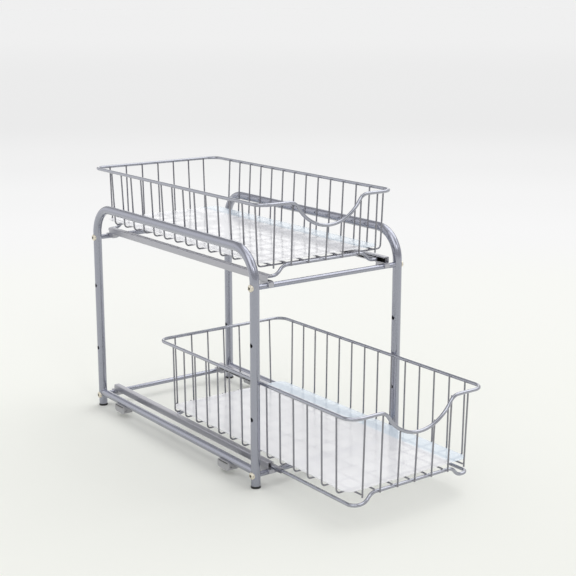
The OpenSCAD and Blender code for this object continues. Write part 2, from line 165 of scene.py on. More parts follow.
def around(sides: int) -> np.ndarray:
    """Even angles round a full turn, in radians and from 0 on."""
    return np.linspace(0, 2 * np.pi, sides, endpoint=False)


def ring_quads(rings: int, sides: int, closed: bool) -> np.ndarray:
    """The quads between rings of vertices, each ring joined to the next.

    Args:
        rings: How many rings there are.
        sides: How many vertices each ring has.
        closed: Whether the last ring is joined to the first.

    Returns:
        One row of four vertex numbers for each quad.
    """
    ring = np.arange(rings if closed else rings - 1)[:, None]
    side = np.arange(sides)[None, :]
    after, beside = (ring + 1) % rings, (side + 1) % sides
    corners = [ring * sides + side, ring * sides + beside, after * sides + beside,
               after * sides + side]
    return np.stack(corners, -1).reshape(-1, 4)


def capped(rings: np.ndarray, first: np.ndarray, last: np.ndarray) -> Surface:
    """Rings of vertices joined into a tube, with a fan of triangles to a pole at each end.

    Args:
        rings: Vertices by ring, side and coordinate.
        first: The pole before the first ring.
        last: The pole after the last ring.

    Returns:
        A closed surface.
    """
    count, sides = rings.shape[:2]
    points = np.concatenate([rings.reshape(-1, 3), first[None], last[None]])
    side = np.arange(sides)
    beside = (side + 1) % sides
    low, high = count * sides, count * sides + 1
    start = np.stack([beside, side, np.full(sides, low)], -1)
    end = np.stack([side, beside, np.full(sides, high)], -1)
    end[:, :2] += (count - 1) * sides
    return Surface(points, ring_quads(count, sides, False), np.concatenate([start, end]))


def arc(centre: Sequence[float], radius: float, start: float, sweep: float,
        across: np.ndarray = X_AXIS, up: np.ndarray = Y_AXIS) -> np.ndarray:
    """Points on a round bend: centre + radius (cos a across + sin a up), with a from start on.

    Args:
        centre: The bend's centre.
        radius: The bend's radius.
        start: The first angle, in degrees.
        sweep: How far the angle goes, in degrees.
        across: The direction of angle 0.
        up: The direction of angle 90.

    Returns:
        One row of X, Y, Z for each point, about 6 degrees apart.
    """
    steps = max(2, math.ceil(abs(sweep) / BEND_STEP)) + 1
    angle = np.radians(np.linspace(start, start + sweep, steps))[:, None]
    return np.asarray(centre) + radius * (np.cos(angle) * across + np.sin(angle) * up)


def round_corners(half_x: float, front: float, rear: float, z: float,
                  radius: float) -> list[np.ndarray]:
    """The four round corners of a level rectangle, each a quarter circle.

    Args:
        half_x: Half of the rectangle's width.
        front: Where its front side is.
        rear: Where its rear side is.
        z: Its height.
        radius: The corners' radius.

    Returns:
        The corners at the front right, rear right, rear left and front left.
    """
    x = half_x - radius
    centres = [([x, front + radius, z], 270), ([x, rear - radius, z], 0),
               ([-x, rear - radius, z], 90), ([-x, front + radius, z], 180)]
    return [arc(centre, radius, start, 90) for centre, start in centres]


def tube(path: np.ndarray, radius: float, across: np.ndarray, sides: int = 16,
         closed: bool = False, edge: float = 0.0) -> Surface:
    """A round bar carried along a path.

    At each point of the path, a ring lies square to it: point + radius (cos a n + sin a b). There
    t is the path's direction, n is the part of the across direction that is square to t, and b is
    t crossed with n. At an open end, the last rings shrink by a quarter circle of the edge's
    radius before the pole closes the bar.

    Args:
        path: One row of X, Y, Z for each point.
        radius: The bar's radius.
        across: A direction that the path never runs along.
        sides: How many sides the bar has.
        closed: Whether the path's end is joined to its start.
        edge: Radius of the rounded edge at an open end.

    Returns:
        The bar's surface.
    """
    if closed:
        ahead = unit(np.roll(path, -1, 0) - path)
        along = unit(ahead + np.roll(ahead, 1, 0))
        radii = np.full(len(path), radius)
    else:
        first, inner, last = path[0], path[1:-1], path[-1]
        ahead = unit(np.diff(path, axis=0))
        turn = EDGE_TURN if edge else EDGE_TURN[-1:]
        inset = edge * (1 - np.sin(turn))[:, None]
        rounded = radius - edge + edge * np.cos(turn)
        path = np.concatenate([first + inset * ahead[0], inner, last - inset[::-1] * ahead[-1]])
        along = unit(np.concatenate([np.repeat(ahead[:1], len(turn), 0), ahead[:-1] + ahead[1:],
                                     np.repeat(ahead[-1:], len(turn), 0)]))
        radii = np.concatenate([rounded, np.full(len(inner), radius), rounded[::-1]])
    normal = unit(across - (along @ across)[:, None] * along)
    other = np.cross(along, normal)
    angle = around(sides)[None, :, None]
    ring = np.cos(angle) * normal[:, None] + np.sin(angle) * other[:, None]
    rings = path[:, None] + radii[:, None, None] * ring
    if closed:
        return Surface(rings.reshape(-1, 3), ring_quads(len(path), sides, True))
    return capped(rings, first, last)


def turned(profile: Sequence[tuple[float, float]], sides: int = 40,
           outline: Callable[[np.ndarray], np.ndarray] | None = None,
           shaped: Sequence[bool] = ()) -> Surface:
    """A profile turned about Z: (r cos a, r sin a, z), with r and z from the profile.

    Args:
        profile: Pairs of radius and height, from the bottom pole to the top one.
        sides: How many steps the turn has.
        outline: A factor on the radius for each angle, used where shaped is true.
        shaped: For each pair, whether the outline acts on it.

    Returns:
        A closed surface, whose first and last pairs are its poles.
    """
    pairs = np.array(profile)
    angle = around(sides)
    radius = np.repeat(pairs[1:-1, :1], sides, 1)
    if outline is not None:
        mask = np.array(shaped)[1:-1, None]
        radius = np.where(mask, radius * outline(angle)[None, :], radius)
    height = np.repeat(pairs[1:-1, 1:], sides, 1)
    rings = np.stack([radius * np.cos(angle), radius * np.sin(angle), height], -1)
    poles = np.array([[0.0, 0.0, pairs[0, 1]], [0.0, 0.0, pairs[-1, 1]]])
    return capped(rings, poles[0], poles[1])


def hexagon(angle: np.ndarray) -> np.ndarray:
    """The factor that turns a circle into a hexagon: cos 30 / cos of the angle from a flat."""
    return np.cos(np.pi / 6) / np.cos(np.mod(angle, np.pi / 3) - np.pi / 6)


def laid_along_x(surface: Surface, sign: int) -> Surface:
    """A turned surface with its axis laid along X: (x, y, z) goes to (sign z, y, -sign x).

    Args:
        surface: A surface turned about Z.
        sign: The sign of X that its top points to.

    Returns:
        The surface lying down.
    """
    x, y, z = surface.points.T
    points = np.stack([sign * z, y, -sign * x], -1)
    return Surface(points, surface.quads, surface.triangles)


def folded_strip(line: np.ndarray, thickness: float, y_low: float, y_high: float,
                 edge: float) -> Surface:
    """Sheet metal folded along a line in X and Z and run along Y.

    Each point of the line is moved half a thickness to either side along the line's own normal,
    which gives the section's closed outline, and the outline is carried from one end to the
    other. The last rings draw in by the edge, and a ladder of quads closes each end.

    Args:
        line: One row of X and Z for each point of the sheet's middle line.
        thickness: The sheet's thickness.
        y_low: Where the front end is.
        y_high: Where the rear end is.
        edge: How far the ends' edges are rounded.

    Returns:
        The folded sheet's closed surface.
    """
    ahead = unit(np.diff(line, axis=0))
    along = unit(np.concatenate([ahead[:1], ahead[:-1] + ahead[1:], ahead[-1:]]))
    normal = np.stack([-along[:, 1], along[:, 0]], -1)
    places = np.array([y_low, y_low + edge, y_high - edge, y_high])
    halves = thickness / 2 - np.array([edge, 0, 0, edge])
    rings = []
    for place, half in zip(places, halves):
        outline = np.concatenate([line + half * normal, (line - half * normal)[::-1]])
        rings.append(np.insert(outline, 1, place, axis=1))
    sides, count = 2 * len(line), len(line)
    walls = ring_quads(len(places), sides, False)
    step = np.arange(count - 1)
    ladder = np.stack([step, step + 1, sides - 2 - step, sides - 1 - step], -1)
    last = ladder + (len(places) - 1) * sides
    return Surface(np.concatenate(rings), np.concatenate([walls, ladder[:, ::-1], last]))


def beads(places: np.ndarray, half_sizes: Sequence[float]) -> Surface:
    """Small weld beads, each a squashed ball: place + half sizes (cos a cos b, sin a cos b, sin b).

    Args:
        places: One row of X, Y, Z for each bead.
        half_sizes: Half of a bead's size along X, Y and Z.

    Returns:
        All the beads as one surface.
    """
    b = np.radians(BEAD_ROWS)[:, None]
    a = around(BEAD_SIDES)[None, :]
    shape = np.stack([np.cos(a) * np.cos(b), np.sin(a) * np.cos(b), np.sin(b) + 0 * a], -1)
    scale = np.asarray(half_sizes)
    return capped(shape * scale, -Z_AXIS * scale, Z_AXIS * scale).repeated(places)


# ---- node groups and finishes ----


def filled(tree: bpy.types.NodeTree, node: bpy.types.Node, inputs: dict[str | int, object]) -> None:
    """Fills a node's inputs.

    Args:
        tree: The tree that holds the node.
        node: The node.
        inputs: For each input's name or number, its value or the socket that is linked to it.
    """
    for label, value in inputs.items():
        if isinstance(value, bpy.types.NodeSocket):
            tree.links.new(value, node.inputs[label])
        else:
            node.inputs[label].default_value = value


def added(tree: bpy.types.NodeTree, kind: str, inputs: dict[str | int, object] | None = None,
          **options: object) -> bpy.types.Node:
    """Adds a shader node, sets its options and fills its inputs.

    Args:
        tree: The tree that gets the node.
        kind: The node's type, without the ShaderNode in front.
        inputs: For each input's name or number, its value or the socket that is linked to it.
        **options: The node's own settings.

    Returns:
        The node.
    """
    node = tree.nodes.new(f"ShaderNode{kind}")
    for option, value in options.items():
        setattr(node, option, value)
    filled(tree, node, inputs or {})
    return node


@dataclass(frozen=True)
class Speckle:
    """A group that gives fine grain, broad patches and a height from Object coordinates."""

    name: str = "speckle"
    inputs: tuple[tuple[str, float], ...] = (
        ("Grain Scale", 1500.0), ("Patch Scale", 30.0), ("Stretch", 1.0))
    outputs: tuple[str, ...] = ("Grain", "Patch", "Height")
    details: tuple[float, float] = (3.0, 2.0)
    patch_height: float = 0.3

    def group(self) -> bpy.types.NodeTree:
        """The group, made once: fine and broad noise, and a height that mixes the two.

        Returns:
            The node group.
        """
        if self.name in bpy.data.node_groups:
            return bpy.data.node_groups[self.name]
        tree = bpy.data.node_groups.new(self.name, "ShaderNodeTree")
        for label, default in self.inputs:
            socket = tree.interface.new_socket(name=label, in_out="INPUT",
                                               socket_type="NodeSocketFloat")
            socket.default_value = default
        for label in self.outputs:
            tree.interface.new_socket(name=label, in_out="OUTPUT", socket_type="NodeSocketFloat")
        given = tree.nodes.new("NodeGroupInput").outputs
        scale = added(tree, "CombineXYZ", {"X": 1.0, "Y": given["Stretch"], "Z": 1.0})
        stretched = added(tree, "VectorMath", {0: added(tree, "TexCoord").outputs["Object"],
                                               1: scale.outputs["Vector"]}, operation="MULTIPLY")
        grain, patch = [
            added(tree, "TexNoise", {"Detail": detail, "Vector": stretched.outputs["Vector"],
                                     "Scale": given[label]}).outputs["Fac"]
            for (label, _), detail in zip(self.inputs, self.details)]
        height = added(tree, "Math", {0: patch, 1: self.patch_height, 2: grain},
                       operation="MULTIPLY_ADD")
        results = zip(self.outputs, (grain, patch, height.outputs["Value"]))
        filled(tree, tree.nodes.new("NodeGroupOutput"), dict(results))
        return tree


@dataclass(frozen=True)
class Finish:
    """One finish: its colour and how it shines, with grain and patches from the speckle group."""

    name: str
    colour: tuple[float, float, float]
    shade: tuple[float, float, float]
    metallic: float = 0.0
    roughness: float = 0.5
    rough_spread: float = 0.1
    coat: float = 0.0
    coat_roughness: float = 0.2
    grain_scale: float = 1500.0
    patch_scale: float = 30.0
    stretch: float = 1.0
    bump: float = 0.1
    bump_depth: float = 0.02 * MM
    alpha: float = 1.0
    shadow_alpha: float = 1.0
    subsurface: float = 0.0
    # The margin and its tint paint a bluish reflection on the right-hand side, from the margin on
    # in X.
    margin: float = 0.0
    margin_tint: tuple[float, float, float] = (0.80, 0.90, 1.0)

    def material(self) -> bpy.types.Material:
        """The finish as a material, made once.

        Returns:
            A material whose colour runs from shade to colour with the speckle's grain.
        """
        if self.name in bpy.data.materials:
            return bpy.data.materials[self.name]
        material = bpy.data.materials.new(self.name)
        material.use_nodes = True
        tree = material.node_tree
        speckle = added(tree, "Group", node_tree=Speckle().group())
        filled(tree, speckle, {"Grain Scale": self.grain_scale, "Patch Scale": self.patch_scale,
                               "Stretch": self.stretch})
        filled(tree, tree.nodes["Principled BSDF"], {
            "Metallic": self.metallic, "Coat Weight": self.coat,
            "Coat Roughness": self.coat_roughness, "Alpha": self.alpha,
            "Subsurface Weight": self.subsurface, "Subsurface Radius": (SCATTER_DEPTH,) * 3,
            "Base Color": self.tint(tree, speckle), "Roughness": self.gloss(tree, speckle),
            "Normal": added(tree, "Bump", {
                "Strength": self.bump, "Distance": self.bump_depth,
                "Height": speckle.outputs["Height"]}).outputs["Normal"]})
        if self.shadow_alpha < 1:
            self.lets_light_through(tree)
        return material

    def tint(self, tree: bpy.types.NodeTree, speckle: bpy.types.Node) -> bpy.types.NodeSocket:
        """The colour: from shade to colour with the grain, and a painted bluish reflection in a
        right-hand margin.

        Args:
            tree: The material's tree.
            speckle: Its speckle group.

        Returns:
            The socket that gives the colour.
        """
        both = added(tree, "Math", {0: speckle.outputs["Grain"], 1: speckle.outputs["Patch"]})
        low, high = NOISE_SUM_RANGE
        spread = added(tree, "MapRange", {"From Min": low, "From Max": high,
                                          "Value": both.outputs["Value"]})
        tint = added(tree, "Mix", {"A": (*self.shade, 1.0), "B": (*self.colour, 1.0),
                                   "Factor": spread.outputs["Result"]}, data_type="RGBA")
        if not self.margin:
            return tint.outputs["Result"]
        # Painted reflection: a bluish sheen mixed in over the right-hand margin.
        place = added(tree, "SeparateXYZ", {"Vector": added(tree, "TexCoord").outputs["Object"]})
        mask = added(tree, "MapRange", {
            "From Min": self.margin, "From Max": self.margin + MARGIN_FADE,
            "Value": place.outputs["X"]}, interpolation_type="SMOOTHSTEP")
        return added(tree, "Mix", {
            "A": tint.outputs["Result"], "B": (*self.margin_tint, 1.0),
            "Factor": mask.outputs["Result"]}, data_type="RGBA").outputs["Result"]

    def gloss(self, tree: bpy.types.NodeTree, speckle: bpy.types.Node) -> bpy.types.NodeSocket:
        """The roughness: half the spread to either side of its middle value, with the patches.

        Args:
            tree: The material's tree.
            speckle: Its speckle group.

        Returns:
            The socket that gives the roughness.
        """
        low, high = NOISE_RANGE
        return added(tree, "MapRange", {
            "From Min": low, "From Max": high, "To Min": self.roughness - self.rough_spread / 2,
            "To Max": self.roughness + self.rough_spread / 2,
            "Value": speckle.outputs["Patch"]}).outputs["Result"]

    def lets_light_through(self, tree: bpy.types.NodeTree) -> None:
        """Makes the material clearer to light than it looks: shadow and diffuse rays pass it.

        Args:
            tree: The material's tree, whose shader is already linked to its output.
        """
        path = added(tree, "LightPath").outputs
        either = added(tree, "Math", {0: path["Is Shadow Ray"], 1: path["Is Diffuse Ray"]},
                       operation="MAXIMUM")
        share = added(tree, "Math", {0: either.outputs["Value"], 1: 1.0 - self.shadow_alpha},
                      operation="MULTIPLY")
        mix = added(tree, "MixShader", {
            "Fac": share.outputs["Value"], 1: tree.nodes["Principled BSDF"].outputs["BSDF"],
            2: added(tree, "BsdfTransparent").outputs["BSDF"]})
        filled(tree, tree.nodes["Material Output"], {"Surface": mix.outputs["Shader"]})


TUBE_COAT = Finish("tube_coat", (0.365, 0.375, 0.44), (0.345, 0.355, 0.415), metallic=0.85,
                   roughness=0.22, rough_spread=0.04, coat=0.3, coat_roughness=0.08,
                   grain_scale=2600, patch_scale=30, bump=0.05, bump_depth=0.01 * MM)
RIM_COAT = Finish("rim_coat", (0.39, 0.40, 0.455), (0.36, 0.37, 0.42), metallic=0.85,
                  roughness=0.2, rough_spread=0.05, coat=0.3, coat_roughness=0.08,
                  grain_scale=2600, patch_scale=60, bump=0.06, bump_depth=0.01 * MM)
# Painted shade: the rim's coat made darker for the thin wires.
SHADED_WIRE_COAT = Finish("wire_coat", (0.275, 0.275, 0.305), (0.24, 0.24, 0.27), metallic=0.85,
                   roughness=0.24, rough_spread=0.06, coat=0.2, coat_roughness=0.1,
                   grain_scale=2600, patch_scale=60, bump=0.06, bump_depth=0.01 * MM)
RAIL_SHEET = Finish("rail_sheet", (0.50, 0.50, 0.54), (0.45, 0.45, 0.49), metallic=0.65,
                    roughness=0.34, rough_spread=0.08, grain_scale=2600, patch_scale=120,
                    stretch=0.04, bump=0.1, bump_depth=0.01 * MM)
# Painted shade: a dark plate for the shade in the screws' recesses, not the screws' own colour.
SOCKET_SHADE = Finish("socket_steel", (0.05, 0.045, 0.04), (0.03, 0.03, 0.03), metallic=0.4,
                      roughness=0.6, grain_scale=1600, patch_scale=300)
ZINC_PLATE = Finish("zinc_plate", (0.86, 0.81, 0.70), (0.70, 0.64, 0.52), metallic=0.55,
                    roughness=0.3, rough_spread=0.12, grain_scale=1200, patch_scale=300,
                    bump=0.15, bump_depth=0.01 * MM)
# Black plastic of the feet, glide strips and shoes; the glide strips and shoes also paint the shade
# in the channels, and the block strips are painted shadow.
BLACK_PLASTIC_AND_SHADE = Finish("black_moulding_and_shade", (0.018, 0.018, 0.020), (0.010, 0.010, 0.011),
                       roughness=0.48, rough_spread=0.16, grain_scale=1400, patch_scale=80,
                       bump=0.4, bump_depth=0.04 * MM)
PALE_PLASTIC = Finish("grey_moulding", (0.46, 0.46, 0.48), (0.38, 0.38, 0.40), roughness=0.42,
                      rough_spread=0.1, grain_scale=900, patch_scale=120, bump=0.3,
                      bump_depth=0.03 * MM, subsurface=0.25)
# The clear film gets a painted bluish reflection on its right-hand margin.
CLEAR_SHEET = Finish("clear_film", (0.97, 0.97, 1.0), (0.94, 0.94, 0.975), roughness=0.12,
                     rough_spread=0.06, grain_scale=300, patch_scale=9, bump=0.2,
                     bump_depth=0.1 * MM, alpha=0.56, shadow_alpha=0.08, margin=66 * MM)


# ---- pieces ----


def linked(name: str, data: bpy.types.ID) -> bpy.types.Object:
    """A new object that holds the data, linked to the scene."""
    obj = bpy.data.objects.new(name, data)
    bpy.context.scene.collection.objects.link(obj)
    return obj


def shaded(mesh: bpy.types.Mesh, crease: float) -> None:
    """Smooth shading, apart from edges that turn by more than the crease, in degrees."""
    mesh.polygons.foreach_set("use_smooth", np.ones(len(mesh.polygons), bool))
    mesh.set_sharp_from_angle(angle=math.radians(crease))


def placed(obj: bpy.types.Object, finish: Finish, body: str,
           nodes: Sequence[str]) -> None:
    """Gives an object its finish, its body and the nodes that it stands for, and reports it.

    Args:
        obj: The piece, already in place.
        finish: What it is finished in.
        body: The body that it moves with.
        nodes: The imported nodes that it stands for.
    """
    obj.data.materials.clear()
    obj.data.materials.append(finish.material())
    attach(obj, body)
    if nodes:
        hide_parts(*nodes)
    LOG.info("%s: %d faces, on %s", obj.name, len(obj.data.polygons), body)


def new_piece(name: str, surface: Surface) -> bpy.types.Object:
    """A new object from a surface, with smooth shading.

    Args:
        name: The piece's name.
        surface: Its closed surface.

    Returns:
        The object, linked to the scene.
    """
    mesh = bpy.data.meshes.new(name)
    faces = surface.quads.tolist() + surface.triangles.tolist()
    mesh.from_pydata(surface.points.tolist(), [], faces)
    mesh.validate()
    shaded(mesh, NEW_CREASE)
    return linked(name, mesh)


def node_copy(name: str, node: str, bevel: float) -> bpy.types.Object:
    """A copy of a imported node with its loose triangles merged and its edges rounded.

    Args:
        name: The copy's name.
        node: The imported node.
        bevel: Width of the rounded edges.

    Returns:
        The copy, linked to the scene.
    """
    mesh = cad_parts[node].data.copy()
    mesh.name = name
    built = bmesh.new()
    built.from_mesh(mesh)
    bmesh.ops.remove_doubles(built, verts=built.verts, dist=MERGE_WITHIN)
    bmesh.ops.dissolve_limit(built, angle_limit=math.radians(FLAT_WITHIN), verts=built.verts,
                             edges=built.edges)
    built.to_mesh(mesh)
    built.free()
    shaded(mesh, COPY_CREASE)
    obj = linked(name, mesh)
    rounding = obj.modifiers.new("rounded_edges", "BEVEL")
    rounding.width = bevel
    rounding.segments = 2
    rounding.angle_limit = math.radians(BEVEL_FROM)
    rounding.harden_normals = True
    return obj


def node_box(node: str) -> tuple[np.ndarray, np.ndarray]:
    """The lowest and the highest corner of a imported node, as arrays."""
    low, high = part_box(node)
    return np.array(low), np.array(high)


def holes_cut(obj: bpy.types.Object, cutters: Surface) -> None:
    """Cuts holes out of a piece for good.

    Args:
        obj: The piece that is cut.
        cutters: The closed surfaces that are taken away from it.
    """
    drill = new_piece("drill", cutters)
    cut = obj.modifiers.new("holes", "BOOLEAN")
    cut.operation = "DIFFERENCE"
    cut.solver = "EXACT"
    cut.object = drill
    bpy.context.view_layer.update()
    solid = obj.evaluated_get(bpy.context.evaluated_depsgraph_get())
    mesh = bpy.data.meshes.new_from_object(solid)
    obj.modifiers.clear()
    obj.data = mesh
    mesh.name = obj.name
    shaded(mesh, DRILLED_CREASE)
    bpy.data.objects.remove(drill)


# ---- the frame ----


@dataclass
class TubeFrame:
    """The two hoops, their base tubes, the four cross bars and the screws."""

    tube_wall: float = 1.0 * MM
    tube_sides: int = 72
    bend: float = 40 * MM
    spare_holes: tuple[float, float] = (90 * MM, 185 * MM)
    hole_radius: float = 2.7 * MM
    hole_flare: float = 0.35 * MM
    hole_over: float = 1 * MM
    hole_sides: int = 32
    weld_radius: float = 0.8 * MM
    weld_sides: int = 10
    bar_sides: int = 48
    head_radius: float = 4.6 * MM
    head_height: float = 2.2 * MM
    head_sunk: float = 1.6 * MM
    head_sides: int = 48
    head_edge_share: float = 0.2
    dome_shares: tuple[float, ...] = (0.98, 0.92, 0.82, 0.72, 0.62)
    dome_fall: float = 0.72
    recess_radius: float = 2.1 * MM
    recess_depth: float = 1.2 * MM
    recess_lip: tuple[float, float, float] = (1.12, 0.99, 0.95)
    recess_cone: tuple[float, float, float] = (0.5, 1.15, 1.3)
    # socket_share, socket_down and socket_thickness place the dark plate of painted shade in each
    # recess.
    socket_share: float = 0.97
    socket_down: float = 0.55
    socket_thickness: float = 0.4 * MM
    body: str = "frame"
    slot: str = "frame_steel"

    def __post_init__(self) -> None:
        """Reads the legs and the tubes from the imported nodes."""
        low, high = node_box("left_hoop")
        base_low, base_high = node_box("left_base_tube")
        self.tube_radius = (high[0] - low[0]) / 2
        self.base_radius = (base_high[2] - base_low[2]) / 2
        self.leg_x = -(low[0] + self.tube_radius)
        self.leg_front = low[1] + self.tube_radius
        self.leg_rear = high[1] - self.tube_radius
        self.foot_z = low[2]
        self.top_z = high[2] - self.tube_radius
        self.base_z = (base_low[2] + base_high[2]) / 2

    def bar_height(self, tier: Tier) -> float:
        """The height of a tier's cross bars."""
        low, high = node_box(f"{tier.value}_front_bar")
        return float(low[2] + high[2]) / 2

    def leg_y(self, end: End) -> float:
        """Where the legs of an end stand."""
        return self.leg_front if end is End.FRONT else self.leg_rear

    def hoop_path(self, x: float) -> np.ndarray:
        """The hoop's middle line: up a leg, round a bend, along the top and down again.

        Args:
            x: Where the hoop stands.

        Returns:
            One row of X, Y, Z for each point, from the front foot to the rear foot.
        """
        front = [x, self.leg_front + self.bend, self.top_z - self.bend]
        rear = [x, self.leg_rear - self.bend, self.top_z - self.bend]
        return np.concatenate([
            [[x, self.leg_front, self.foot_z]],
            arc(front, self.bend, 180, -90, Y_AXIS, Z_AXIS),
            arc(rear, self.bend, 90, -90, Y_AXIS, Z_AXIS),
            [[x, self.leg_rear, self.foot_z]],
        ])

    def hollow_tube(self, path: np.ndarray) -> Surface:
        """A tube with a wall: rings of the outer radius along the path, of the inner one back.

        Args:
            path: The tube's middle line.

        Returns:
            One closed surface, outside, ends and inside.
        """
        sides, count = self.tube_sides, len(path) * self.tube_sides
        outer, inner = [tube(path, radius, X_AXIS, sides).points[:count].reshape(-1, sides, 3)
                        for radius in (self.tube_radius, self.tube_radius - self.tube_wall)]
        points = np.concatenate([outer, inner[::-1]]).reshape(-1, 3)
        return Surface(points, ring_quads(2 * len(path), sides, True))

    def hole_cutters(self, x: float) -> Surface:
        """Cylinders along X through both legs at each hole, a little wider where they come out.

        Args:
            x: Where the hoop stands.

        Returns:
            The cylinders as one surface.
        """
        half, flare, narrow = self.tube_radius, self.hole_flare, self.hole_radius
        inner, over, wide = half - self.tube_wall, half + self.hole_over, narrow + flare
        profile = [(0, -over), (wide, -over), (wide, -half), (narrow, -half + flare),
                   (narrow, -inner), (narrow, inner),
                   (narrow, half - flare), (wide, half), (wide, over), (0, over)]
        drill = laid_along_x(turned(profile, self.hole_sides), 1)
        heights = [*self.spare_holes, *(self.bar_height(tier) for tier in Tier)]
        places = [[x, self.leg_y(end), height] for end in End for height in heights]
        return drill.repeated(np.array(places))

    def base_tube(self, side: Side) -> Surface:
        """A tube along Y whose ends are hollowed to fit the legs, with a weld round each end.

        Each end lies off the leg's axis by the root of R squared less the square of the distance
        in X, which is where the two round tubes meet.

        Args:
            side: Which side of the rack it is on.

        Returns:
            The tube and its two welds.
        """
        radius = self.base_radius
        angle = around(self.tube_sides)
        x = side.value * self.leg_x + radius * np.cos(angle)
        z = self.base_z + radius * np.sin(angle)
        reach = np.sqrt(self.tube_radius ** 2 - (radius * np.cos(angle)) ** 2)
        start = np.stack([x, self.leg_front + reach, z], -1)
        end = np.stack([x, self.leg_rear - reach, z], -1)
        middle = 0.5 * (start + end)
        rings = np.stack([end, middle, start])
        poles = [np.array([side.value * self.leg_x, y, self.base_z])
                 for y in (self.leg_rear - self.tube_radius, self.leg_front + self.tube_radius)]
        welds = [tube(ring, self.weld_radius, Y_AXIS, self.weld_sides, closed=True)
                 for ring in (start, end)]
        return joined([capped(rings, poles[0], poles[1]), *welds])

    def cross_bar(self, tier: Tier, end: End) -> Surface:
        """A solid bar along X between the two legs, its ends hollowed to fit them.

        Args:
            tier: The tier whose rails it carries.
            end: The end of the rack that it is at.

        Returns:
            The bar's surface.
        """
        low, high = node_box(f"{tier.value}_{end.word}_bar")
        radius = (high[2] - low[2]) / 2
        angle = around(self.bar_sides)
        y = self.leg_y(end) + radius * np.cos(angle)
        z = self.bar_height(tier) + radius * np.sin(angle)
        reach = self.leg_x - np.sqrt(self.tube_radius ** 2 - (radius * np.cos(angle)) ** 2)
        rings = np.stack([np.stack([-reach, y, z], -1), np.stack([0 * y, y, z], -1),
                          np.stack([reach, y, z], -1)])
        pole = np.array([self.leg_x - self.tube_radius, self.leg_y(end), self.bar_height(tier)])
        return capped(rings, pole * [-1, 1, 1], pole)

    def screw_head(self) -> Surface:
        """A pan head along Z with a hexagonal recess, which ends in a shallow cone.

        The dome's height falls with the fourth power of the radius, and the recess's radius is
        divided by the cosine of the angle from the middle of the nearest of its six flats.

        Returns:
            The head, seated on the plane Z = 0 and reaching a little under it.
        """
        rim, top, inner = self.head_radius, self.head_height, self.recess_radius
        lip_share, lip_high, lip_low = self.recess_lip
        cone_share, cone_side, cone_point = self.recess_cone
        depth, sunk = self.recess_depth, -self.head_sunk
        dome = [(rim * share, top * (1 - self.dome_fall * share ** 4))
                for share in self.dome_shares]
        body = [(0, sunk), (rim, sunk), (rim, top * self.head_edge_share), *dome,
                (inner * lip_share, top * lip_high)]
        recess = [(inner, top * lip_low), (inner, top - depth),
                  (inner * cone_share, top - depth * cone_side), (0, top - depth * cone_point)]
        shaped = [False] * len(body) + [True] * len(recess)
        return turned(body + recess, self.head_sides, hexagon, shaped)

    def socket(self) -> Surface:
        """Painted shade: the dark hexagonal bottom of a screw's recess, just over the recess's own
        floor.

        Returns:
            A thin hexagonal plate along Z.
        """
        wide = self.recess_radius * self.socket_share
        top = self.head_height - self.recess_depth * self.socket_down
        low = top - self.socket_thickness
        return turned([(0, low), (wide, low), (wide, top), (0, top)], self.head_sides, hexagon,
                      [True] * 4)

    def at_screws(self, shape: Surface) -> Surface:
        """A shape on the outer side of the legs at each of the eight screws.

        Args:
            shape: A surface turned about Z, with its top outwards.

        Returns:
            The eight copies as one surface.
        """
        x = self.leg_x + self.tube_radius
        return joined([laid_along_x(shape, side.value).repeated(np.array(
            [[side.value * x, self.leg_y(end), self.bar_height(tier)]
             for end in End for tier in Tier])) for side in Side])

    def build(self) -> None:
        """Makes and dresses every piece of the frame."""
        for side in Side:
            x = side.value * self.leg_x
            hoop = new_piece(f"{side.word}_hoop_tube", self.hollow_tube(self.hoop_path(x)))
            holes_cut(hoop, self.hole_cutters(x))
            placed(hoop, TUBE_COAT, self.body, [f"{side.word}_hoop"])
            base = new_piece(f"{side.word}_base_rail_tube", self.base_tube(side))
            placed(base, TUBE_COAT, self.body, [f"{side.word}_base_tube"])
        for tier in Tier:
            for end in End:
                name = f"{tier.value}_{end.word}_bar"
                bar = new_piece(f"{name}_rod", self.cross_bar(tier, end))
                placed(bar, TUBE_COAT, self.body, [name])
        placed(new_piece("screw_heads", self.at_screws(self.screw_head())), ZINC_PLATE,
               self.body, ["frame_screws"])
        # Dark plates of painted shade in the screws' recesses.
        placed(new_piece("screw_socket_shade", self.at_screws(self.socket())), SOCKET_SHADE,
               self.body, [])


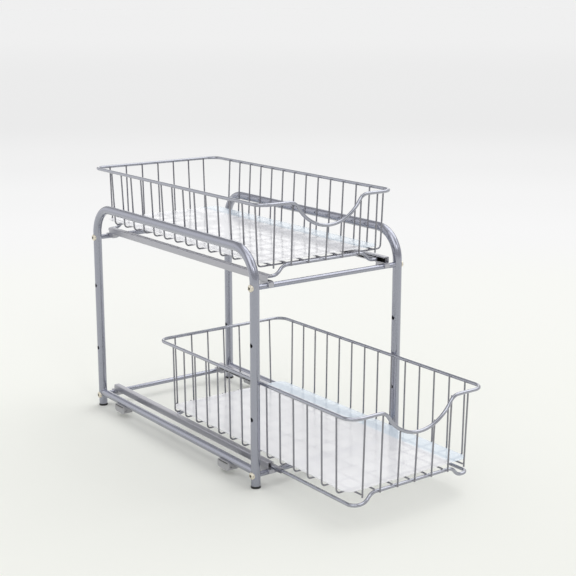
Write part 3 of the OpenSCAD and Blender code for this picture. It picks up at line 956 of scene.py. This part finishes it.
@dataclass
class Feet:
    """The black caps under the legs and the pale blocks clipped under the base tubes."""

    rounding: float = 0.5 * MM
    neck_inset: float = 0.4 * MM
    flange_top: float = 2.0 * MM
    neck_top: float = 3.0 * MM
    cap_sides: int = 56
    block_bevel: float = 0.5 * MM
    # The slot sizes place the strips of painted shadow in the blocks' side slots.
    slot_down: float = 2.0 * MM
    slot_in: float = 1.1 * MM
    slot_half: float = 10.3 * MM
    slot_radius: float = 0.85 * MM
    slot_edge: float = 0.3 * MM
    slot_sides: int = 12
    body: str = "frame"

    def cap(self, node: str) -> Surface:
        """A turned cap: a flat sole, a rounded flange and a neck that the leg stands on.

        Args:
            node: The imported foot.

        Returns:
            The cap, under its leg.
        """
        low, high = node_box(node)
        wide = (high[0] - low[0]) / 2
        neck, brim, soft = wide - self.neck_inset, self.flange_top, self.rounding
        sole = [(wide - soft + soft * math.cos(a), soft - soft * math.sin(a)) for a in EDGE_TURN]
        edge = [(wide - soft / 2 * (1 - math.cos(a)), brim - soft / 2 * (1 - math.sin(a)))
                for a in EDGE_TURN[::-1]]
        profile = [(0, 0), *sole, *edge, (neck, brim), (neck, self.neck_top), (0, self.neck_top)]
        middle = (low + high) / 2
        return turned(profile, self.cap_sides).moved([middle[0], middle[1], 0.0])

    def slot_shadows(self) -> Surface:
        """Painted shadow: the dark bottoms of the blocks' side slots, as strips of a rounded bar
        along Y.

        Returns:
            The eight strips as one surface.
        """
        strips = []
        for end in End:
            for side in Side:
                low, high = node_box(f"{end.word}_{side.word}_block")
                y, z = (low[1] + high[1]) / 2, high[2] - self.slot_down
                for x in (low[0] + self.slot_in, high[0] - self.slot_in):
                    path = np.array([[x, y + step * self.slot_half, z] for step in (-1, 0, 1)])
                    strips.append(tube(path, self.slot_radius, Z_AXIS, self.slot_sides,
                                       edge=self.slot_edge))
        return joined(strips)

    def build(self) -> None:
        """Makes and dresses the caps and the blocks."""
        for end in End:
            for side in Side:
                place = f"{end.word}_{side.word}"
                foot = new_piece(f"{place}_cap", self.cap(f"{place}_foot"))
                placed(foot, BLACK_PLASTIC_AND_SHADE, self.body, [f"{place}_foot"])
                block = node_copy(f"{place}_clip", f"{place}_block", self.block_bevel)
                placed(block, PALE_PLASTIC, self.body, [f"{place}_block"])
        # Strips of painted shadow in the blocks' side slots, under the tube.
        placed(new_piece("block_slot_shadows", self.slot_shadows()), BLACK_PLASTIC_AND_SHADE, self.body, [])


@dataclass
class Rails:
    """The channel rails, saddles and rivets, and black glide strips that also paint the shade in
    the channels.
    """

    sheet: float = 0.7 * MM
    corner: float = 0.85 * MM
    lip: float = 0.9 * MM
    cut_edge: float = 0.15 * MM
    strip_bevel: float = 0.12 * MM
    saddle_bevel: float = 0.4 * MM
    rivet_radius: float = 2.6 * MM
    rivet_height: float = 1.0 * MM
    rivet_sunk: float = 0.4 * MM
    rivet_sides: int = 24
    body: str = "frame"

    def channel(self, node: str) -> Surface:
        """A rail on the left: a folded sheet with round corners and two lips, open inwards.

        Args:
            node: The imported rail.

        Returns:
            The rail's surface.
        """
        low, high = node_box(node)
        half = self.sheet / 2
        outer, inner = low[0] + half, high[0] - half
        bottom, top = low[2] + half, high[2] - half
        r = self.corner
        tip = self.lip + half
        corners = [(inner - r, bottom + r, 0), (outer + r, bottom + r, 270),
                   (outer + r, top - r, 180), (inner - r, top - r, 90)]
        bends = [arc([x, 0, z], r, start, -90, X_AXIS, Z_AXIS)[:, [0, 2]]
                 for x, z, start in corners]
        line = np.concatenate([[[inner, bottom + tip]], *bends, [[inner, top - tip]]])
        return folded_strip(line[::-1], self.sheet, low[1], high[1], self.cut_edge)

    def rivets(self) -> Surface:
        """The eight domed rivet heads under the saddles' tongues.

        Returns:
            The heads as one surface.
        """
        low, high = node_box("rail_rivets")
        rail_low, rail_high = node_box("upper_left_rail")
        across = -(rail_low[0] + rail_high[0]) / 2
        rim, height = self.rivet_radius, self.rivet_height
        dome = [(rim * math.cos(a), -height * math.sin(a)) for a in np.radians([75, 50, 25, 0])]
        head = turned([(0, -height), *dome, (0, self.rivet_sunk)], self.rivet_sides)
        heights = [low[2] + height]
        heights.append(heights[0] + self.tier_step())
        places = [[side.value * across, y, z] for side in Side
                  for y in (low[1] + rim, high[1] - rim) for z in heights]
        return head.repeated(np.array(places))

    @staticmethod
    def tier_step() -> float:
        """How much higher the upper tier's rails are than the lower tier's."""
        return float(node_box("upper_left_rail")[0][2] - node_box("lower_left_rail")[0][2])

    def build(self) -> None:
        """Makes and dresses the rails and what holds them."""
        for tier in Tier:
            left = self.channel(f"{tier.value}_left_rail")
            for side in Side:
                node = f"{tier.value}_{side.word}_rail"
                shape = left if side is Side.LEFT else left.mirrored()
                placed(new_piece(f"{node}_channel", shape), RAIL_SHEET, self.body,
                       [node])
                # The glide strips are black plastic that also stands for painted shade inside the
                # channel.
                node = f"{tier.value}_{side.word}_glide"
                placed(node_copy(f"{node}_strip", node, self.strip_bevel), BLACK_PLASTIC_AND_SHADE,
                       self.body, [node])
        placed(node_copy("saddles", "rail_saddles", self.saddle_bevel), RAIL_SHEET,
               self.body, ["rail_saddles"])
        placed(new_piece("rivet_heads", self.rivets()), ZINC_PLATE, self.body,
               ["rail_rivets"])


# ---- the baskets ----


@dataclass
class Basket:
    """One wire basket, with its rim, bottom loop, wires, slides and clear sheet."""

    tier: Tier
    lean: float = 0.0
    loop_radius: float = 2.25 * MM
    loop_sides: int = 28
    wire_radius: float = 1.1 * MM
    wire_sides: int = 14
    rim_corner: float = 16 * MM
    dip_half: float = 62 * MM
    dip_shoulder: float = 16 * MM
    loop_corner: float = 10 * MM
    step_bend: float = 14 * MM
    step_lead: float = 2 * MM
    side_wires: int = 14
    end_wires: int = 7
    floor_bend: float = 5 * MM
    cut_edge: float = 0.35 * MM
    long_shift: float = 6.7 * MM
    long_over: float = 1.2 * MM
    weld_gap: float = 0.02 * MM
    rim_bead: tuple[float, float, float] = (0.8 * MM, 1.5 * MM, 1.4 * MM)
    end_bead: tuple[float, float, float] = (1.4 * MM, 0.9 * MM, 1.3 * MM)
    floor_bead: tuple[float, float, float] = (1.2 * MM, 1.2 * MM, 0.7 * MM)
    slide_sheet: float = 0.6 * MM
    slide_corner: float = 0.8 * MM
    slide_edge: float = 0.12 * MM
    shoe_bevel: float = 0.3 * MM
    sheet_corner: float = 12 * MM
    sheet_rings: tuple[float, ...] = (0.25, 0.5, 0.75, 0.95)
    wave_height: float = 0.12 * MM
    wave_x: float = 31 * MM
    wave_y: float = 47 * MM
    slot: str = "wire_steel"

    def __post_init__(self) -> None:
        """Reads the basket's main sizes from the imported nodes."""
        r = self.loop_radius
        low, high = self.box("rim")
        self.rim_x, self.rim_front, self.rim_rear = high[0] - r, low[1] + r, high[1] - r
        self.rim_z = high[2] - r
        self.dip_depth = high[2] - low[2] - 2 * r
        low, high = self.box("bottom_loop")
        self.loop_x, self.loop_front, self.loop_rear = high[0] - r, low[1] + r, high[1] - r
        self.loop_z = low[2] + r
        self.step = high[2] - low[2] - 2 * r
        w = self.wire_radius
        low, high = self.box("left_wires")
        self.wall_x, self.wall_top = -(low[0] + w), high[2]
        self.side_ys = np.linspace(low[1] + w, high[1] - w, self.side_wires)
        low, high = self.box("floor_wires")
        self.cross_z, self.long_z = low[2] + w, high[2] - w
        low, high = self.box("front_wires")
        self.end_xs = np.linspace(low[0] + w, high[0] - w, self.end_wires)

    @property
    def body(self) -> str:
        """The body that the basket's pieces move with."""
        return f"{self.tier.value}_basket"

    def box(self, piece: str) -> tuple[np.ndarray, np.ndarray]:
        """The box of one of this basket's nodes."""
        return node_box(f"{self.tier.value}_{piece}")

    def rim_y(self, end: End) -> float:
        """Where the rim's middle line is at an end."""
        return self.rim_front if end is End.FRONT else self.rim_rear

    def loop_y(self, end: End) -> float:
        """Where the bottom loop's middle line is at an end."""
        return self.loop_front if end is End.FRONT else self.loop_rear

    def wire(self, path: np.ndarray, across: np.ndarray) -> Surface:
        """A thin wire along a path, with rounded cut ends."""
        return tube(path, self.wire_radius, across, self.wire_sides, edge=self.cut_edge)

    def dip_angles(self) -> tuple[float, float]:
        """The slope in degrees where the dip's shoulder meets its bowl, and the bowl's radius."""
        angle = 2 * math.atan(self.dip_depth / self.dip_half)
        return math.degrees(angle), self.dip_half / math.sin(angle) - self.dip_shoulder

    def dip_line(self) -> np.ndarray:
        """The dip in the front rim from left to right: a shoulder, a bowl and a shoulder.

        Returns:
            One row of X, Y, Z for each point.
        """
        angle, bowl = self.dip_angles()
        y, shoulder = self.rim_front, self.rim_z - self.dip_shoulder
        left = arc([-self.dip_half, y, shoulder], self.dip_shoulder, 90, -angle, X_AXIS, Z_AXIS)
        middle = arc([0, y, self.rim_z - self.dip_depth + bowl], bowl, 270 - angle, 2 * angle,
                     X_AXIS, Z_AXIS)
        right = arc([self.dip_half, y, shoulder], self.dip_shoulder, 90 + angle, -angle,
                    X_AXIS, Z_AXIS)
        return np.concatenate([left[:-1], middle, right[1:]])

    def rim_heights(self, end: End) -> np.ndarray:
        """The height of the rim's middle line at each wire of an end wall.

        Args:
            end: The wall's end of the basket.

        Returns:
            One height for each wire: that of the dip's arcs in the front.
        """
        if end is End.REAR:
            return np.full(self.end_wires, self.rim_z)
        line = self.dip_line()
        return np.interp(self.end_xs, line[:, 0], line[:, 2], self.rim_z, self.rim_z)

    def rim_path(self) -> np.ndarray:
        """The rim's closed line: the dip, then the four sides with their round corners.

        Returns:
            One row of X, Y, Z for each point.
        """
        front, rear = self.rim_front, self.rim_rear
        bends = round_corners(self.rim_x, front, rear, self.rim_z, self.rim_corner)
        return np.concatenate([self.dip_line(), *bends])

    def loop_end(self, y: float) -> np.ndarray:
        """The raised end of the bottom loop from left to right, with an S bend at either side.

        Args:
            y: Where the end is.

        Returns:
            One row of X, Y, Z for each point.
        """
        r, z = self.step_bend, self.loop_z
        angle = math.degrees(math.acos(1 - self.step / r / 2))
        start = self.loop_x - self.loop_corner - self.step_lead
        stop = start - 2 * r * math.sin(math.radians(angle))
        high = z + self.step
        bends = [arc([-start, y, z + r], r, 270, angle, X_AXIS, Z_AXIS)[:-1],
                 arc([-stop, y, high - r], r, 90 + angle, -angle, X_AXIS, Z_AXIS),
                 arc([stop, y, high - r], r, 90, -angle, X_AXIS, Z_AXIS)[:-1],
                 arc([start, y, z + r], r, 270 - angle, angle, X_AXIS, Z_AXIS)]
        return np.concatenate(bends)

    def loop_path(self) -> np.ndarray:
        """The bottom loop's closed line: two raised ends, two straight sides, four corners.

        Returns:
            One row of X, Y, Z for each point.
        """
        front, rear = self.loop_front, self.loop_rear
        bends = round_corners(self.loop_x, front, rear, self.loop_z, self.loop_corner)
        return np.concatenate([self.loop_end(front), *bends[:2], self.loop_end(rear)[::-1],
                               *bends[2:]])

    def cross_wires(self) -> Surface:
        """The U shaped wires: down one wall, across the floor and up the other wall.

        The walls lean in towards the floor, so each bend turns by 90 degrees less that slope.

        Returns:
            The wires as one surface.
        """
        x, r, z = self.wall_x, self.floor_bend, self.cross_z
        slope = math.degrees(math.atan2(self.lean, self.rim_z - z))
        foot = x - self.lean - r
        path = np.concatenate([
            [[-x, 0, self.wall_top], [-x, 0, self.rim_z]],
            arc([-foot, 0, z + r], r, 180 + slope, 90 - slope, X_AXIS, Z_AXIS),
            arc([foot, 0, z + r], r, 270, 90 - slope, X_AXIS, Z_AXIS),
            [[x, 0, self.rim_z], [x, 0, self.wall_top]]])
        places = np.zeros((self.side_wires, 3))
        places[:, 1] = self.side_ys
        return self.wire(path, Y_AXIS).repeated(places)

    def end_lines(self, end: End) -> tuple[np.ndarray, np.ndarray]:
        """The feet and the tops of an end wall's wires, leaning from the loop to the rim.

        Args:
            end: The wall's end of the basket.

        Returns:
            One row of X, Y, Z for each foot, and one for each top.
        """
        low, high = self.box(f"{end.word}_wires")
        w, level = self.wire_radius, np.zeros(self.end_wires)
        top_y = (high[1] - w) if end is End.REAR else (low[1] + w)
        foot_y = self.loop_y(end) + end.value * (self.loop_radius + w)
        top_z = high[2] - (self.rim_z - self.rim_heights(end))
        return (np.stack([self.end_xs, level + foot_y, level + low[2]], -1),
                np.stack([self.end_xs, level + top_y, top_z], -1))

    def end_wall(self, end: End) -> Surface:
        """The straight wires of an end wall.

        Args:
            end: The wall's end of the basket.

        Returns:
            The wires as one surface.
        """
        feet, tops = self.end_lines(end)
        return joined([self.wire(np.stack([foot, 0.5 * (foot + top), top]), X_AXIS)
                       for foot, top in zip(feet, tops)])

    def long_xs(self) -> np.ndarray:
        """Where the lengthways floor wires lie: left of the end wires, the outermost beside them.

        Returns:
            One X for each wire.
        """
        beside = 2 * self.wire_radius + self.weld_gap
        xs = self.end_xs - self.long_shift
        xs[0], xs[-1] = self.end_xs[0] - beside, self.end_xs[-1] - beside
        return xs

    def long_wires(self) -> Surface:
        """The floor wires that run lengthways, and lie on the cross wires and the loop's ends.

        Returns:
            The wires as one surface.
        """
        wires = []
        for index, x in enumerate(self.long_xs()):
            outermost = index in (0, self.end_wires - 1)
            over = (self.loop_radius + self.wire_radius) if outermost else self.long_over
            ys = [self.loop_front - over, 0.5 * (self.loop_front + self.loop_rear),
                  self.loop_rear + over]
            wires.append(self.wire(np.array([[x, y, self.long_z] for y in ys]), Z_AXIS))
        return joined(wires)

    def welds(self) -> Surface:
        """The beads where wires are spot welded to the rim, to the loop and to each other.

        Returns:
            The beads as one surface.
        """
        r, raised = self.loop_radius, self.loop_z + self.step
        touch = self.wall_x + self.wire_radius
        rim = [[side.value * touch, y, self.rim_z] for side in Side for y in self.side_ys]
        ends = []
        for end in End:
            rim_y, loop_y = self.rim_y(end) - end.value * r, self.loop_y(end)
            ends += [[x, rim_y, z] for x, z in zip(self.end_xs, self.rim_heights(end))]
            ends += [[x, loop_y + end.value * r, raised] for x in self.end_xs[1:-1]]
            ends += [[x, loop_y, raised + r] for x in self.long_xs()[1:-1]]
        crossing_z = self.cross_z + self.wire_radius
        floor = [[x, y, crossing_z] for x in self.long_xs() for y in self.side_ys]
        return joined([beads(np.array(rim), self.rim_bead), beads(np.array(ends), self.end_bead),
                       beads(np.array(floor), self.floor_bead)])

    def slide(self) -> Surface:
        """The left slide: a channel folded round the loop's straight side, open outwards.

        Returns:
            The slide's surface.
        """
        low, high = self.box("left_slide")
        half = self.slide_sheet / 2
        outer, inner = low[0], high[0] - half
        bottom, top = low[2] + half, high[2] - half
        r = self.slide_corner
        bends = [arc([inner - r, 0, bottom + r], r, 270, 90, X_AXIS, Z_AXIS)[:, [0, 2]],
                 arc([inner - r, 0, top - r], r, 0, 90, X_AXIS, Z_AXIS)[:, [0, 2]]]
        line = np.concatenate([[[outer, bottom]], *bends, [[outer, top]]])
        return folded_strip(line, self.slide_sheet, low[1], high[1], self.slide_edge)

    def clear_sheet(self) -> Surface:
        """The sheet on the floor: a rectangle with round corners and soft edges, a little wavy.

        Its outline is the rectangle's corner arcs. Rings of that outline, drawn in towards the
        middle, run over the top, round the edge and under the bottom, and the height is moved by
        a sum of two long waves.

        Returns:
            The sheet as one closed surface.
        """
        low, high = self.box("liner")
        middle, half = (low + high) / 2, (high - low) / 2
        thick = half[2]
        bends = round_corners(half[0], -half[1], half[1], 0.0, self.sheet_corner)
        outline = np.concatenate([*bends[1:], bends[0]])
        turn = np.radians([-90, -60, -30, 0, 30, 60, 90])
        flat = np.zeros(len(self.sheet_rings))
        shares = np.concatenate([self.sheet_rings, 0 * turn + 1, self.sheet_rings[::-1]])
        insets = np.concatenate([flat, thick * (np.cos(turn) - 1), flat])
        heights = np.concatenate([flat - 1, np.sin(turn), flat + 1]) * thick
        scale = shares[:, None, None] + insets[:, None, None] / half[0]
        rings = np.concatenate([outline[None, :, :2] * scale,
                                np.repeat(heights[:, None, None], len(outline), 1)], -1)
        surface = capped(rings, np.array([0, 0, -thick]), np.array([0, 0, thick]))
        x, y = surface.points[:, 0], surface.points[:, 1]
        waves = np.sin(x / self.wave_x) + np.sin(y / self.wave_y)
        surface.points[:, 2] += self.wave_height * (waves + 2)
        return surface.moved(middle)

    def build(self) -> None:
        """Makes and dresses every piece of the basket."""
        name = self.tier.value
        rim, loop = [tube(path, self.loop_radius, Z_AXIS, self.loop_sides, closed=True)
                     for path in (self.rim_path(), self.loop_path())]
        wires = [("rim_wire", rim, RIM_COAT, ["rim"]),
                 ("loop_wire", loop, RIM_COAT, ["bottom_loop"]),
                 # The thin wires get the darker copy of the rim's coat, as painted shade.
                 ("cross_wires", self.cross_wires(), SHADED_WIRE_COAT, ["left_wires", "right_wires"]),
                 ("long_wires", self.long_wires(), SHADED_WIRE_COAT, ["floor_wires"]),
                 ("weld_beads", self.welds(), RIM_COAT, [])]
        wires += [(f"{end.word}_wall_wires", self.end_wall(end), SHADED_WIRE_COAT, [f"{end.word}_wires"])
                  for end in End]
        for piece, surface, finish, nodes in wires:
            placed(new_piece(f"{name}_{piece}", surface), finish, self.body,
                   [f"{name}_{node}" for node in nodes])
        left = self.slide()
        for side in Side:
            node = f"{name}_{side.word}_slide"
            shape = left if side is Side.LEFT else left.mirrored()
            placed(new_piece(f"{node}_channel", shape), RAIL_SHEET, self.body, [node])
            # The shoes are black plastic that also stands for painted shade at the slide's front.
            node = f"{name}_{side.word}_shoe"
            placed(node_copy(f"{node}_block", node, self.shoe_bevel), BLACK_PLASTIC_AND_SHADE,
                   self.body, [node])
        placed(new_piece(f"{name}_clear_sheet", self.clear_sheet()), CLEAR_SHEET,
               self.body, [f"{name}_liner"])


# ---- the studio ----


@dataclass
class Studio:
    """The pale floor, the surround, the soft suns and the camera.

    A tone is its place on the floor's ramp and its colour; the ramp paints light and shade on the
    floor, lightest around the rack and darker further off. A panel is the direction of its middle,
    its inner and outer angle in degrees and its strength. A sun is its name, the direction towards
    it, its width in degrees and its share of the suns' light.
    """

    # Painted light and shade: the floor is lightest around the rack, darker further off and a
    # little lighter again at the far end.
    tones: tuple[tuple[float, tuple[float, float, float]], ...] = (
        (0.0, (0.905, 0.913, 0.868)), (0.14, (0.939, 0.947, 0.900)), (0.27, (0.942, 0.947, 0.915)),
        (0.35, (0.935, 0.935, 0.935)), (0.41, (0.915, 0.915, 0.915)), (0.48, (0.879, 0.879, 0.879)),
        (0.58, (0.831, 0.831, 0.831)), (0.725, (0.836, 0.836, 0.836)), (1.0, (0.870, 0.870, 0.870)))
    near: float = 1.2
    far: float = 20.0
    floor_size: float = 120.0
    floor_roughness: float = 0.9
    camera_place: tuple[float, float, float] = (-0.93442, -1.30255, 0.59571)
    camera_yaw: float = 36.427
    camera_pitch: float = 13.294
    focal_px: float = 1226.389
    image_px: float = 576.0
    sensor: float = 36.0
    clip: tuple[float, float] = (0.05, 200.0)
    sky: float = 0.72
    gloss: float = 0.62
    panels: tuple[tuple[tuple[float, float, float], float, float, float], ...] = (
        ((-0.60, 0.78, 0.10), 14.0, 48.0, 0.75), ((0.57, -0.50, 0.60), 9.0, 26.0, 1.40),
        ((-0.05, -0.10, 1.0), 12.0, 34.0, 1.00), ((-0.62, -0.38, 0.70), 10.0, 30.0, 2.00),
        ((0.58, 0.79, 0.21), 9.0, 20.0, 1.00), ((0.95, 0.25, 0.30), 10.0, 40.0, 0.30))
    suns: tuple[tuple[str, tuple[float, float, float], float, float], ...] = (
        ("overhead", (0.90, 0.10, 1.25), 50.0, 0.88), ("front", (-0.23, -0.97, 0.6), 14.0, 0.12))

    def camera(self) -> None:
        """Sets the camera at the photograph's place, angle and field of view."""
        data = bpy.data.cameras.new("camera")
        data.sensor_width = self.sensor
        data.lens = self.focal_px * data.sensor_width / self.image_px
        data.clip_start, data.clip_end = self.clip
        camera = linked("camera", data)
        camera.location = self.camera_place
        camera.rotation_euler = Euler((math.radians(90 - self.camera_pitch), 0,
                                       -math.radians(self.camera_yaw)))
        bpy.context.scene.camera = camera

    def floor_material(self) -> bpy.types.Material:
        """A matt material whose tone, painted light and shade, changes with the logarithm of the
        distance from the front.

        The distance is measured on the floor from under the camera, and its logarithm runs from
        that of near to that of far over the ramp.

        Returns:
            The floor's material.
        """
        material = bpy.data.materials.new("studio_floor")
        material.use_nodes = True
        tree = material.node_tree
        place = added(tree, "TexCoord").outputs["Object"]
        apart = added(tree, "VectorMath", {0: place, 1: (*self.camera_place[:2], 0.0)},
                      operation="DISTANCE")
        scale = added(tree, "Math", {0: apart.outputs["Value"], 1: math.e}, operation="LOGARITHM")
        reach = added(tree, "MapRange", {
            "From Min": math.log(self.near), "From Max": math.log(self.far),
            "Value": scale.outputs["Value"]})
        ramp = added(tree, "ValToRGB", {"Fac": reach.outputs["Result"]})
        ramp.color_ramp.interpolation = "EASE"
        stops = ramp.color_ramp.elements
        while len(stops) < len(self.tones):
            stops.new(1.0)
        for stop, (where, tone) in zip(stops, self.tones):
            stop.position, stop.color = where, (*tone, 1.0)
        filled(tree, tree.nodes["Principled BSDF"], {
            "Roughness": self.floor_roughness, "Specular IOR Level": 0.0,
            "Base Color": ramp.outputs["Color"]})
        return material

    def floor(self) -> None:
        """Lays the floor."""
        half = self.floor_size / 2
        mesh = bpy.data.meshes.new("floor")
        mesh.from_pydata([(-half, -half, 0), (half, -half, 0), (half, half, 0), (-half, half, 0)],
                         [], [(0, 1, 2, 3)])
        mesh.materials.append(self.floor_material())
        linked("floor", mesh)

    def world(self) -> None:
        """A white surround: part of the diffuse light, the gloss, and the far floor's tone."""
        world = bpy.data.worlds.new("studio")
        world.use_nodes = True
        tree = world.node_tree
        light = tree.nodes["Background"]
        filled(tree, light, {"Color": (1.0, 1.0, 1.0, 1.0), "Strength": self.sky})
        seen = added(tree, "Background", {"Color": (*self.tones[-1][1], 1.0)})
        gloss = added(tree, "Background", {"Strength": self.panel_light(tree)})
        path = added(tree, "LightPath").outputs
        mirrored = added(tree, "MixShader", {"Fac": path["Is Glossy Ray"],
                                             1: light.outputs["Background"],
                                             2: gloss.outputs["Background"]})
        mix = added(tree, "MixShader", {"Fac": path["Is Camera Ray"], 1: mirrored.outputs["Shader"],
                                        2: seen.outputs["Background"]})
        filled(tree, tree.nodes["World Output"], {"Surface": mix.outputs["Shader"]})
        bpy.context.scene.world = world

    def panel_light(self, tree: bpy.types.NodeTree) -> bpy.types.NodeSocket:
        """How bright the surround is in the gloss: an even level and a few soft round panels.

        A panel adds its strength where the angle to its middle is under its inner angle, and
        fades smoothly to nothing at its outer angle.

        Args:
            tree: The world's node tree.

        Returns:
            The socket that gives the brightness for a ray's direction.
        """
        ray = added(tree, "TexCoord").outputs["Generated"]
        level = added(tree, "Value").outputs["Value"]
        level.default_value = self.gloss
        for middle, inner, outer, strength in self.panels:
            nearness = added(tree, "VectorMath", {0: ray, 1: Vector(middle).normalized()},
                             operation="DOT_PRODUCT")
            fade = added(tree, "MapRange", {
                "From Min": math.cos(math.radians(outer)),
                "From Max": math.cos(math.radians(inner)), "To Max": strength,
                "Value": nearness.outputs["Value"]}, interpolation_type="SMOOTHSTEP")
            level = added(tree, "Math", {0: level, 1: fade.outputs["Result"]}).outputs["Value"]
        return level

    def sun(self, name: str, way: Sequence[float], angle: float, share: float) -> None:
        """A wide soft sun that gives the floor a share of the light that the surround leaves out.

        Args:
            name: The sun's name.
            way: The direction towards it.
            angle: How wide it is, in degrees.
            share: Its share of the light that the floor lacks to be seen in its own tone.
        """
        data = bpy.data.lights.new(name, "SUN")
        up = Vector(way).normalized()
        data.angle = math.radians(angle)
        data.energy = share * (1.0 - self.sky) * math.pi / up.z
        sun = linked(name, data)
        sun.rotation_euler = up.to_track_quat("Z", "Y").to_euler()

    def build(self) -> None:
        """Sets the camera, the floor, the surround and the suns."""
        self.camera()
        self.floor()
        self.world()
        for sun in self.suns:
            self.sun(*sun)
        bpy.context.scene.view_settings.view_transform = "Standard"


def main() -> None:
    """Builds the pieces in order, then the studio."""
    logging.basicConfig(level=logging.INFO, format="%(message)s")
    Studio().build()
    TubeFrame().build()
    Feet().build()
    Rails().build()
    Basket(Tier.UPPER, lean=3.5 * MM).build()
    Basket(Tier.LOWER, lean=1 * MM).build()


if __name__ == "__main__":
    main()
